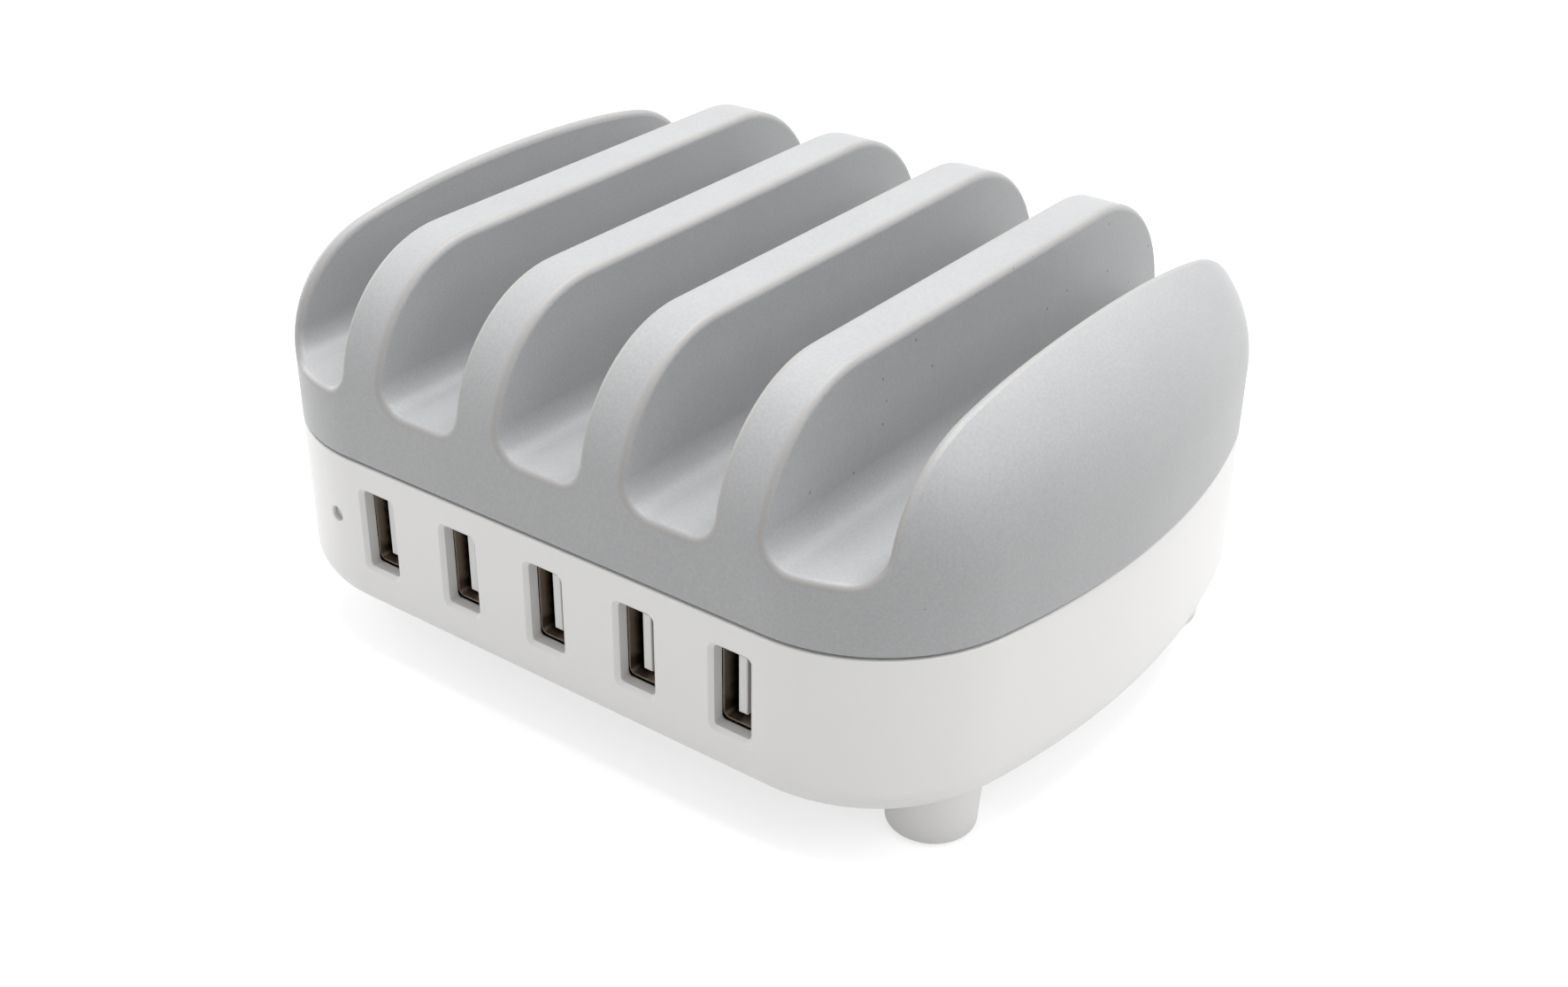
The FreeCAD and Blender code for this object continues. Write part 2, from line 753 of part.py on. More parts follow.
def rack_frame():
    body = new_body("rack_frame")
    comb(body, "(cover_skin + skin_gap)", COVER_BOTTOM)
    flange = outline(new_sketch(body, "XY_Plane", BASE_TOP), "base_width", "flange_inset")
    pad(body, flange, "seam_gap")
    lip = outline(new_sketch(body, "XY_Plane", f"{BASE_TOP} - lip_height"), "base_width",
                  "(base_wall + fit_gap)")
    pad(body, lip, "lip_height")
    hollow = outline(new_sketch(body, "XY_Plane", f"{BASE_TOP} - lip_height - cut_overrun"), "base_width",
                     "(base_wall + fit_gap + lip_thickness)")
    pocket(body, hollow, f"{DECK_TOP} - deck_thickness - {BASE_TOP} + lip_height + cut_overrun", backwards=True)
    bosses = new_sketch(body, "XY_Plane", TOWER_TOP)
    holes = new_sketch(body, "XY_Plane", f"{TOWER_TOP} - cut_overrun")
    for x, y in CORNERS:
        circle(bosses, f"{x} * foot_x", f"{y} * foot_y", "boss_radius")
        circle(holes, f"{x} * foot_x", f"{y} * foot_y", "screw_radius + screw_gap")
    pad(body, bosses, f"{DECK_TOP} - deck_thickness / 2 - {TOWER_TOP}")
    pocket(body, holes, f"screw_seat_height + screw_length + 2 * cut_overrun - {TOWER_TOP}", backwards=True)
    nodes.append(body)


# Feet and screws

def foot_pad(index, x, y):
    body = new_body(f"foot_pad_{index}")
    disc = new_sketch(body, "XY_Plane")
    circle(disc, f"{x} * foot_x", f"{y} * foot_y", "pad_radius")
    block = pad(body, disc, "pad_thickness")
    fillet(body, block, "pad_edge_radius", lambda edge: level(edge, 2, "0"))
    nodes.append(body)


def screws(name, spots, head_bottom, head_top_down, head_radius, head_height, radius, length):
    """Group of like screws: a flat head and a plain shank, upright at each spot."""
    group = []
    for index, (x, y) in enumerate(spots, start=1):
        head = cylinder(f"{name}_head_{index}", x, y, head_bottom, head_radius, head_height)
        start = f"{head_bottom} - {length}" if head_top_down else f"{head_bottom} + {head_height}"
        shank = cylinder(f"{name}_shank_{index}", x, y, start, radius, length)
        group.append(combine("MultiFuse", f"{name}_{index}", [head, shank]))
    nodes.append(combine("Compound", name, group))


# Sockets

def port_x(index):
    return f"port_pitch * ({index - 1} - {PORT_COUNT - 1} / 2)"


def at_port(body, index):
    """Puts a body drawn round the socket's front centre behind its mouth."""
    place(body, port_x(index), f"-{SOCKET_FRONT}", "port_height")


def socket_section(body, depth, grow):
    sketch = new_sketch(body, "XZ_Plane", f"-({depth})")
    width, height = f"usb_width / 2 + {grow}", f"usb_height / 2 + {grow}"
    rounded_rectangle(sketch, f"-({width})", width, f"-({height})", height, f"usb_radius + {grow}")
    return sketch


def usb_shell(index):
    body = new_body(f"usb_shell_{index}")
    pad(body, socket_section(body, "usb_flare_length", "0"), "usb_length - usb_flare_length", backwards=True)
    loft(body, "AdditiveLoft", socket_section(body, "0", "usb_flare"),
         socket_section(body, "usb_flare_length", "0"))
    bore = socket_section(body, "usb_flare_length", "(-usb_wall)")
    pocket(body, bore, "usb_length")
    loft(body, "SubtractiveLoft", socket_section(body, "0", "(usb_flare - usb_wall)"),
         socket_section(body, "usb_flare_length", "(-usb_wall)"))
    springs = new_sketch(body, "YZ_Plane", "-(usb_width / 2 + cut_overrun)")
    for side in SIGNS:
        middle = f"{side} * spring_slot_spacing / 2"
        rectangle(springs, "spring_slot_start", "spring_slot_start + spring_slot_length",
                  f"{middle} - spring_slot_width / 2", f"{middle} + spring_slot_width / 2")
    pocket(body, springs, "usb_width + 2 * cut_overrun", backwards=True)
    at_port(body, index)
    nodes.append(body)


TONGUE_RIGHT = "(usb_width / 2 - usb_wall - tongue_side_gap)"
TONGUE_LEFT = "(usb_width / 2 - usb_wall - tongue_side_gap - tongue_width)"
BLOCK_FRONT = "(usb_length - insulator_length)"


def usb_insulator(index):
    body = new_body(f"usb_insulator_{index}")
    rear = new_sketch(body, "XZ_Plane", f"-{BLOCK_FRONT}")
    width, height = "usb_width / 2 - usb_wall - insulator_gap", "usb_height / 2 - usb_wall - insulator_gap"
    rounded_rectangle(rear, f"-({width})", width, f"-({height})", height, "usb_radius")
    pad(body, rear, "insulator_length", backwards=True)
    tongue = new_sketch(body, "XZ_Plane", "-tongue_setback")
    rectangle(tongue, TONGUE_LEFT, TONGUE_RIGHT, "-tongue_height / 2", "tongue_height / 2")
    block = pad(body, tongue, f"{BLOCK_FRONT} - tongue_setback", backwards=True)
    fillet(body, block, "tongue_edge_radius", lambda edge: level(edge, 1, "tongue_setback"))
    at_port(body, index)
    nodes.append(body)


def usb_contacts(index):
    strips = []
    for number_of_strip, share in enumerate(("-contact_outer", "-contact_inner", "contact_inner",
                                             "contact_outer"), start=1):
        start = "tongue_setback + contact_setback"
        strips.append(box(f"usb_contact_{index}_{number_of_strip}",
                          f"{port_x(index)} + {TONGUE_LEFT} - contact_thickness",
                          f"{start} - {SOCKET_FRONT}", f"port_height + {share} - contact_width / 2",
                          "contact_thickness", f"{BLOCK_FRONT} - ({start})", "contact_width"))
    nodes.append(combine("Compound", f"usb_contacts_{index}", strips))


# Pilot light

LED_HEIGHT = "(port_height + led_rise)"
HOLDER_FRONT = f"({BOARD_FRONT} - part_gap)"


def pilot_light():
    pipe_start = f"({FRONT} - pipe_recess)"
    pipe_length = f"{pipe_start} - {HOLDER_FRONT} - led_length + holder_depth"
    nodes.append(cylinder("light_pipe", "led_x", f"-{pipe_start}", LED_HEIGHT, "led_hole_radius - pipe_gap",
                          pipe_length, LIE_BACK))
    lamp_start = f"{HOLDER_FRONT} + led_length - holder_depth"
    lamp = cylinder("led_lens", "led_x", f"-({lamp_start})", LED_HEIGHT, "led_radius", "led_length", LIE_BACK)
    rim = cylinder("led_rim", "led_x", f"holder_depth - {HOLDER_FRONT}", LED_HEIGHT, "led_flange_radius",
                   "led_flange_length", LIE_BACK)
    nodes.append(combine("MultiFuse", "status_led", [lamp, rim]))
    block = box("holder_block", "led_x - holder_width / 2", f"-{HOLDER_FRONT}", BOARD_TOP, "holder_width",
                "holder_depth", f"{LED_HEIGHT} + led_radius + holder_roof - {BOARD_TOP}")
    bore = cylinder("holder_bore", "led_x", f"-{HOLDER_FRONT} - cut_overrun", LED_HEIGHT,
                    "led_radius + pipe_gap", "holder_depth + 2 * cut_overrun", LIE_BACK)
    nodes.append(combine("Cut", "led_holder", [block, bore]))


# Circuit board

def main_board():
    body = new_body("main_board")
    plate = new_sketch(body, "XY_Plane", BOARD_BOTTOM)
    rectangle(plate, "-board_width / 2", "board_width / 2", f"-{BOARD_FRONT}", BOARD_BACK)
    block = pad(body, plate, "board_thickness")
    chamfer(body, block, "board_corner", upright)
    holes = new_sketch(body, "XY_Plane", f"{BOARD_TOP} + cut_overrun")
    for x, y in POSTS:
        circle(holes, x, y, "board_screw_radius + board_screw_gap")
    pocket(body, holes, "board_thickness + 2 * cut_overrun")
    nodes.append(body)


# Inlet and switch in the back wall

def connector_block(body, middle, width, length, proud, radius):
    """Block on the board whose nose stands in its window of the back panel."""
    face = new_sketch(body, "XZ_Plane", f"-({PANEL_FACE} + {proud})")
    rounded_rectangle(face, f"{middle} - {width} / 2", f"{middle} + {width} / 2", BOARD_TOP,
                      f"{BOARD_TOP} + {CONNECTOR_HEIGHT}", radius)
    return pad(body, face, length)


def mains_inlet():
    body = new_body("mains_inlet")
    connector_block(body, "inlet_x", "inlet_width", "inlet_length", "inlet_proud", "inlet_edge_radius")
    mouth = f"-({PANEL_FACE} + inlet_proud + cut_overrun)"
    for side in SIGNS:
        lobe = new_sketch(body, "XZ_Plane", mouth)
        circle(lobe, f"inlet_x + {side} * pin_spacing / 2", "port_height", "inlet_lobe_radius")
        pocket(body, lobe, "inlet_well_depth + cut_overrun", backwards=True)
    waist = new_sketch(body, "XZ_Plane", mouth)
    rectangle(waist, "inlet_x - pin_spacing / 2", "inlet_x + pin_spacing / 2",
              "port_height - inlet_waist / 2", "port_height + inlet_waist / 2")
    pocket(body, waist, "inlet_well_depth + cut_overrun", backwards=True)
    nodes.append(body)


def inlet_pins():
    pins = []
    for index, side in enumerate(SIGNS, start=1):
        body = new_body(f"inlet_pin_{index}")
        root = new_sketch(body, "XZ_Plane", f"inlet_well_depth - {PANEL_FACE} - inlet_proud")
        circle(root, f"inlet_x + {side} * pin_spacing / 2", "port_height", "pin_radius")
        rod = pad(body, root, "pin_length", backwards=True)
        tip = f"{PANEL_FACE} + inlet_proud - inlet_well_depth + pin_length"
        fillet(body, rod, "pin_tip_radius", lambda edge: level(edge, 1, tip))
        pins.append(body)
    nodes.append(combine("Compound", "inlet_pins", pins))


PIVOT_Y = f"({PANEL_FACE} + switch_proud - rocker_pivot_depth)"


def switch_housing():
    body = new_body("switch_housing")
    connector_block(body, "switch_x", "switch_width", "switch_length", "switch_proud", "switch_edge_radius")
    well = new_sketch(body, "XZ_Plane", f"-({PANEL_FACE} + switch_proud + cut_overrun)")
    reach, rise = "rocker_width / 2 + rocker_gap", "rocker_radius + rocker_gap"
    rectangle(well, f"switch_x - ({reach})", f"switch_x + {reach}", f"port_height - ({rise})",
              f"port_height + {rise}")
    pocket(body, well, "switch_well_depth + cut_overrun", backwards=True)
    seats = new_sketch(body, "YZ_Plane", "switch_x - rocker_width / 2 - trunnion_length - trunnion_gap")
    circle(seats, PIVOT_Y, "port_height", "trunnion_radius + trunnion_gap")
    pocket(body, seats, "rocker_width + 2 * (trunnion_length + trunnion_gap)", backwards=True)
    nodes.append(body)


def power_rocker():
    """Rocker drawn level round its pivot, then tilted to its rest at the off side."""
    body = new_body("power_rocker")
    side = new_sketch(body, "YZ_Plane", "-rocker_width / 2")
    back, tall, low = number("-rocker_back"), number("rocker_back_height"), number("rocker_middle")
    tip, rise = number("rocker_end"), number("rocker_end_height")
    swing = number("rocker_radius")
    lines = [add_line(side, (back, -tall), (back, tall)), add_line(side, (tip, rise), (low, 0)),
             add_line(side, (low, 0), (tip, -rise))]
    arcs = [add_arc(side, (back, tall), (0, swing), (tip, rise)),
            add_arc(side, (tip, -rise), (0, -swing), (back, -tall))]
    join_loop(side, [lines[0], arcs[0], lines[1], lines[2], arcs[1]], smooth=False)
    for line, point, x, y in ((0, 1, "-rocker_back", "-rocker_back_height"),
                              (0, 2, "-rocker_back", "rocker_back_height"),
                              (1, 1, "rocker_end", "rocker_end_height"),
                              (1, 2, "rocker_middle", "0"),
                              (2, 2, "rocker_end", "-rocker_end_height")):
        pin_x(side, lines[line], point, x)
        pin_y(side, lines[line], point, y)
    for arc in arcs:
        fix(side, "Radius", "rocker_radius", arc)
    pad(body, side, "rocker_width")
    shaft = new_sketch(body, "YZ_Plane", "-rocker_width / 2 - trunnion_length")
    circle(shaft, "0", "0", "trunnion_radius")
    pad(body, shaft, "rocker_width + 2 * trunnion_length")
    body.Placement.Rotation = FreeCAD.Rotation(ALONG_X, number("rocker_tilt"))
    place(body, "switch_x", PIVOT_Y, "port_height")
    nodes.append(body)


# Power parts standing on the board

def window_core(name, x, y, width, depth, height, leg):
    """Closed ferrite frame with one window through it along Y."""
    block = box(name + "_block", f"{x} - {width} / 2", f"{y} - {depth} / 2", BOARD_TOP, width, depth, height)
    window = box(name + "_window", f"{x} - {width} / 2 + {leg}", f"{y} - {depth} / 2 - cut_overrun",
                 f"{BOARD_TOP} + {leg}", f"{width} - 2 * {leg}", f"{depth} + 2 * cut_overrun",
                 f"{height} - 2 * {leg}")
    nodes.append(combine("Cut", name, [block, window]))


def transformer_winding():
    body = new_body("transformer_winding")
    coil = new_sketch(body, "XZ_Plane", "core_depth / 2 + winding_overhang - core_y")
    reach = "core_width / 2 - core_leg - part_gap"
    rounded_rectangle(coil, f"core_x - ({reach})", f"core_x + {reach}", f"{BOARD_TOP} + core_leg + part_gap",
                      f"{BOARD_TOP} + core_height - core_leg - part_gap", "winding_edge_radius")
    pad(body, coil, "core_depth + 2 * winding_overhang", backwards=True)
    nodes.append(body)


def can_capacitor(name, x, y, radius, height):
    """Sleeved can with a rolled groove near its foot and a rounded top edge."""
    body = new_body(name)
    disc = new_sketch(body, "XY_Plane", BOARD_TOP)
    circle(disc, x, y, radius)
    block = pad(body, disc, height)
    fillet(body, block, "can_edge_radius", lambda edge: level(edge, 2, f"{BOARD_TOP} + {height}"))
    ring = new_sketch(body, "XY_Plane", f"{BOARD_TOP} + can_groove_height - can_groove_radius / 2")
    circle(ring, x, y, f"{radius} - can_groove_radius")
    circle(ring, x, y, f"{radius} + cut_overrun")
    pocket(body, ring, "can_groove_radius", backwards=True)
    nodes.append(body)


def filter_capacitor():
    body = new_body("filter_capacitor")
    plan = new_sketch(body, "XY_Plane", BOARD_TOP)
    rounded_rectangle(plan, "filter_x - filter_width / 2", "filter_x + filter_width / 2",
                      "filter_y - filter_depth / 2", "filter_y + filter_depth / 2", "filter_edge_radius")
    pad(body, plan, "filter_height")
    nodes.append(body)


def heat_sink():
    web = box("sink_web_plate", "sink_x", "sink_y - sink_depth / 2", BOARD_TOP, "sink_web", "sink_depth",
              "sink_height")
    fins = [box(f"sink_fin_{i + 1}", "sink_x - sink_width",
                f"sink_y + sink_pitch * ({i} - {SINK_FINS - 1} / 2) - sink_fin / 2", BOARD_TOP, "sink_width",
                "sink_fin", "sink_height") for i in range(SINK_FINS)]
    nodes.append(combine("MultiFuse", "heat_sink", [web] + fins))


def power_transistor():
    """Moulded body with its metal tab flat against the heat sink's web."""
    face = "sink_x + sink_web"
    body = box("transistor_body", face, "sink_y - transistor_depth / 2", BOARD_TOP, "transistor_width",
               "transistor_depth", "transistor_height - transistor_tab_height")
    tab = box("transistor_plate", face, "sink_y - transistor_depth / 2", BOARD_TOP, "transistor_tab",
              "transistor_depth", "transistor_height")
    nodes.append(combine("MultiFuse", "power_transistor", [body, tab]))


def bridge_rectifier():
    body = new_body("bridge_rectifier")
    plan = new_sketch(body, "XZ_Plane", "bridge_depth / 2 - bridge_y")
    rectangle(plan, "bridge_x - bridge_width / 2", "bridge_x + bridge_width / 2", BOARD_TOP,
              f"{BOARD_TOP} + bridge_height")
    block = pad(body, plan, "bridge_depth", backwards=True)
    corner = number("bridge_x + bridge_width / 2")
    chamfer(body, block, "bridge_notch",
            lambda edge: level(edge, 2, f"{BOARD_TOP} + bridge_height") and edge.BoundBox.XMin > corner - NEAR)
    nodes.append(body)


def fuse():
    height = f"{BOARD_TOP} + fuse_cap_radius + part_gap"
    start = "fuse_y - fuse_length / 2"
    barrel = cylinder("fuse_barrel", "fuse_x", start, height, "fuse_radius", "fuse_length", LIE_BACK)
    caps = [cylinder(f"fuse_cap_{i}", "fuse_x", spot, height, "fuse_cap_radius", "fuse_cap_length", LIE_BACK)
            for i, spot in enumerate((start, "fuse_y + fuse_length / 2 - fuse_cap_length"), start=1)]
    nodes.append(combine("MultiFuse", "fuse", [barrel] + caps))


def charge_chips():
    """One control chip behind each socket."""
    chips = [box(f"charge_chip_{i}", f"{port_x(i)} - chip_width / 2", f"usb_length + chip_back_gap - {SOCKET_FRONT}",
                 BOARD_TOP, "chip_width", "chip_depth", "chip_height") for i in range(1, PORT_COUNT + 1)]
    nodes.append(combine("Compound", "charge_chips", chips))


base_shell()
rack_cover()
rack_frame()
for corner_index, (side_x, side_y) in enumerate(CORNERS, start=1):
    foot_pad(corner_index, side_x, side_y)
screws("case_screws", [(f"{x} * foot_x", f"{y} * foot_y") for x, y in CORNERS],
       "(screw_seat_height - screw_head_height)", False, "screw_head_radius", "screw_head_height",
       "screw_radius", "screw_length")
main_board()
screws("board_screws", POSTS, BOARD_TOP, True, "board_screw_head_radius", "board_screw_head_height",
       "board_screw_radius", "board_screw_length")
for port in range(1, PORT_COUNT + 1):
    usb_shell(port)
    usb_insulator(port)
    usb_contacts(port)
pilot_light()
mains_inlet()
inlet_pins()
switch_housing()
power_rocker()
window_core("transformer_core", "core_x", "core_y", "core_width", "core_depth", "core_height", "core_leg")
transformer_winding()
for can in (1, 2):
    can_capacitor(f"bulk_capacitor_{can}", "bulk_x", f"bulk_y - bulk_spacing * {can - 1}", "bulk_radius",
                  "bulk_height")
for can in (1, 2, 3):
    can_capacitor(f"output_capacitor_{can}", f"output_x + output_spacing * {can - 1}", "output_y",
                  "output_radius", "output_height")
window_core("filter_choke", "choke_x", "choke_y", "choke_width", "choke_depth", "choke_height", "choke_leg")
filter_capacitor()
heat_sink()
power_transistor()
bridge_rectifier()
fuse()
charge_chips()
doc.recompute()

# Every object has to be sound before anything is written.
for item in doc.Objects:
    if {"Invalid", "Error"} & set(item.State):
        raise RuntimeError(f"{item.Name} is {item.State}")
for node in nodes:
    if node.Shape.isNull() or not node.Shape.isValid() or not node.Shape.Solids:
        raise RuntimeError(f"{node.Label} has no sound solid")

os.makedirs("parts", exist_ok=True)
for node in nodes:
    node.Shape.exportStep(f"parts/{node.Label}.step")
    print(node.Label, len(node.Shape.Solids), round(node.Shape.Volume, 1))
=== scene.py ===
# %% [markdown]
# # A charging station with a slotted rack
#
# The station is a white moulded tray on four feet, with five upright sockets in its front wall and a
# soft grey rack on top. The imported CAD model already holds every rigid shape, so this lesson loads it,
# gives each surface its finish, adds the small formed parts that are easier as surfaces, and lights it.

# %% Load the frame
import json
import math
from collections import namedtuple

import bpy
import numpy as np
from mathutils import Matrix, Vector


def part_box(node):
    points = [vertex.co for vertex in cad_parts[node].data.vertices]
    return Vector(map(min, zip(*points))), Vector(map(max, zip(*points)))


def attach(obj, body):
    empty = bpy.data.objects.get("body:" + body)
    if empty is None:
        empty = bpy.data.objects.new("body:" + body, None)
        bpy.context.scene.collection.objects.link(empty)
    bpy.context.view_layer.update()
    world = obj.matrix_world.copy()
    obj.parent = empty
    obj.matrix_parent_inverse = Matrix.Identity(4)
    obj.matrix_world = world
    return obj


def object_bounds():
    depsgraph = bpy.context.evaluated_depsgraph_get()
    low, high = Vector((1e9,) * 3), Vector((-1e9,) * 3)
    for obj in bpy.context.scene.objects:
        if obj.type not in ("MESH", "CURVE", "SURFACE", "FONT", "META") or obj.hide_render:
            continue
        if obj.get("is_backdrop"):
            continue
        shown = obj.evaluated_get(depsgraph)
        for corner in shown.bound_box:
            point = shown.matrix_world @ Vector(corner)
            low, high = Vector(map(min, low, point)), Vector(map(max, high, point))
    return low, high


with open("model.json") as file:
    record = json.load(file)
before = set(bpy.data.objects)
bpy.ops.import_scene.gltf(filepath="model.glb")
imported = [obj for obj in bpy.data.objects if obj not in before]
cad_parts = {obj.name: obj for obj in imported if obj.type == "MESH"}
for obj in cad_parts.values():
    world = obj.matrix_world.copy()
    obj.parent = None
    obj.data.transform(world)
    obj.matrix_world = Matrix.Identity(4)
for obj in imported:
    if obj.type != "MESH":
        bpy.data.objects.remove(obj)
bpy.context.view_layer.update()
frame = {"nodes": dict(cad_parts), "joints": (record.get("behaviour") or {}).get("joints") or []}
nodes = frame["nodes"]
STATION, ROCKER = "station", "rocker"
MM = 0.001

# %% [markdown]
# ## Finding places in the frame
#
# Every new piece sits on something that the frame already has. Its place could be typed in, but a typed
# place goes stale when the CAD model changes, so the boxes of the nodes are read instead. The row of
# sockets is measured here once, in metres.

# %% The row of sockets
PORTS = 5


def family(stem, count):
    """Names of a numbered family of nodes: the stem with 1, 2 and so on."""
    return [f"{stem}_{index}" for index in range(1, count + 1)]


def corners(node):
    """Lowest and highest corner of a node's box at rest, as arrays."""
    return [np.array(corner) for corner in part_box(node)]


def in_mm(lengths):
    """Lengths in millimetres, rounded for printing."""
    return [round(float(length) / MM, 2) for length in lengths]


socket_boxes = [corners(shell) for shell in family("usb_shell", PORTS)]
socket_centres = [(low + high) / 2 for low, high in socket_boxes]
SOCKET_FRONT = float(socket_boxes[0][0][1])
print("sockets at x =", in_mm(centre[0] for centre in socket_centres), "mm")

# %% [markdown]
# ## A small kit for node materials
#
# Each finish below is a few nodes round one Principled shader. They could be wired by hand in the shader
# editor; in a script, one short function adds a node, and another works out a sum with a Math node,
# whose inputs are plain numbers or the results of other nodes.

# %% Nodes and sums


def add_node(tree, kind, **settings):
    """Adds one shader node to a tree and sets its plain attributes."""
    node = tree.nodes.new("ShaderNode" + kind)
    for name, value in settings.items():
        setattr(node, name, value)
    return node


def add_math(tree, operation, first, second=0.0):
    """Result of one operation on two inputs, each a number or a socket; some use only the first."""
    node = add_node(tree, "Math", operation=operation)
    for socket, value in zip(node.inputs, (first, second)):
        if isinstance(value, bpy.types.NodeSocket):
            tree.links.new(value, socket)
        else:
            socket.default_value = value
    return node.outputs[0]


print("node kit ready")

# %% [markdown]
# ## Groups with named ends
#
# An effect that several finishes share could be copied into each of them, but then a change has to be
# made in every copy. A node group is made once and placed in each material with that material's own
# values. Its inputs and outputs are made on the group's interface.

# %% Node groups


def new_group(name, inputs, outputs):
    """A shader node group: inputs are (name, kind, default), outputs (name, kind); its tree and ends."""
    tree = bpy.data.node_groups.new(name, "ShaderNodeTree")
    for label, kind, default in inputs:
        socket = tree.interface.new_socket(label, in_out="INPUT", socket_type="NodeSocket" + kind)
        socket.default_value = default
    for label, kind in outputs:
        tree.interface.new_socket(label, in_out="OUTPUT", socket_type="NodeSocket" + kind)
    return tree, tree.nodes.new("NodeGroupInput"), tree.nodes.new("NodeGroupOutput")


def place_group(tree, group, values):
    """Puts a group into a material with its own values."""
    node = tree.nodes.new("ShaderNodeGroup")
    node.node_tree = group
    for label, value in values.items():
        node.inputs[label].default_value = value
    return node


print("group kit ready")

# %% [markdown]
# ## Grain, the effect that most finishes share
#
# Moulded plastic, rubber and rolled steel are all a little uneven: their colour drifts over
# centimetres, and a fine tooth catches the light. Painting this for each finish would be slow, so
# one group makes both from noise on Object coordinates, stretched where a surface was rolled or drawn.

# %% The grain group
FINE_DETAIL, BROAD_DETAIL = 3.0, 4.0


def make_grain():
    """Fine noise gives height and roughness; fine and broad noise, mixed by Fine Share, shift the colour."""
    tree, given, result = new_group(
        "surface_grain",
        [("Fine Scale", "Float", 2000.0), ("Broad Scale", "Float", 30.0), ("Fine Share", "Float", 0.35),
         ("Stretch", "Vector", (1, 1, 1)),
         ("Low Colour", "Color", (0.5, 0.5, 0.5, 1)), ("High Colour", "Color", (0.6, 0.6, 0.6, 1)),
         ("Low Roughness", "Float", 0.4), ("High Roughness", "Float", 0.5)],
        [("Colour", "Color"), ("Roughness", "Float"), ("Height", "Float")])
    place = add_node(tree, "TexCoord")
    stretch = add_node(tree, "VectorMath", operation="MULTIPLY")
    fine = add_node(tree, "TexNoise")
    broad = add_node(tree, "TexNoise")
    fine.inputs["Detail"].default_value = FINE_DETAIL
    broad.inputs["Detail"].default_value = BROAD_DETAIL
    tone = add_node(tree, "Mix", data_type="FLOAT")
    tint = add_node(tree, "Mix", data_type="RGBA")
    rough = add_node(tree, "MapRange")
    link = tree.links.new
    link(place.outputs["Object"], stretch.inputs[0])
    link(given.outputs["Stretch"], stretch.inputs[1])
    for noise, label in ((fine, "Fine Scale"), (broad, "Broad Scale")):
        link(stretch.outputs[0], noise.inputs["Vector"])
        link(given.outputs[label], noise.inputs["Scale"])
    link(given.outputs["Fine Share"], tone.inputs["Factor"])
    link(broad.outputs["Fac"], tone.inputs["A"])
    link(fine.outputs["Fac"], tone.inputs["B"])
    link(tone.outputs["Result"], tint.inputs["Factor"])
    link(given.outputs["Low Colour"], tint.inputs["A"])
    link(given.outputs["High Colour"], tint.inputs["B"])
    link(fine.outputs["Fac"], rough.inputs["Value"])
    link(given.outputs["Low Roughness"], rough.inputs["To Min"])
    link(given.outputs["High Roughness"], rough.inputs["To Max"])
    link(tint.outputs["Result"], result.inputs["Colour"])
    link(rough.outputs["Result"], result.inputs["Roughness"])
    link(fine.outputs["Fac"], result.inputs["Height"])
    return tree


GRAIN = make_grain()
print("group:", GRAIN.name)

# %% [markdown]
# ## Flecks
#
# The soft grey skin holds a scatter of tiny dark flecks, and the circuit board is dotted with solder.
# Single dots could be placed by hand, but both are points in random cells, so one group picks some of
# the cells of a Voronoi pattern and draws a dot in each.

# %% The fleck group


def make_flecks():
    """A dot where the distance to a cell's point is under Size, kept only in a Share of the cells."""
    tree, given, result = new_group(
        "flecks",
        [("Scale", "Float", 300.0), ("Size", "Float", 0.12), ("Share", "Float", 0.1)],
        [("Mask", "Float")])
    place = add_node(tree, "TexCoord")
    cells = add_node(tree, "TexVoronoi")
    split = add_node(tree, "SeparateColor")
    link = tree.links.new
    link(place.outputs["Object"], cells.inputs["Vector"])
    link(given.outputs["Scale"], cells.inputs["Scale"])
    link(cells.outputs["Color"], split.inputs["Color"])
    near = add_math(tree, "LESS_THAN", cells.outputs["Distance"], given.outputs["Size"])
    kept = add_math(tree, "LESS_THAN", split.outputs["Red"], given.outputs["Share"])
    link(add_math(tree, "MULTIPLY", near, kept), result.inputs["Mask"])
    return tree


FLECKS = make_flecks()
print("group:", FLECKS.name)

# %% [markdown]
# ## One way to make a grained finish
#
# Most finishes differ only in colour, gloss and the scale of their grain. This function places the
# grain group, feeds the shader with it, and turns its height into a bump that is at most a few hundredths
# of a millimetre deep. A value that is the same all over a surface is set straight on the shader. The
# tree, the shader and the colour come back with the material, so a finish with more to show can add to it.

# %% A grained finish
Finish = namedtuple("Finish", "material tree shader colour", defaults=(None,))


def new_material(name, **values):
    """A Principled material with uniform values set on the shader's own sockets."""
    material = bpy.data.materials.new(name)
    material.use_nodes = True
    shader = material.node_tree.nodes["Principled BSDF"]
    for label, value in values.items():
        shader.inputs[label.replace("_", " ")].default_value = value
    return Finish(material, material.node_tree, shader)


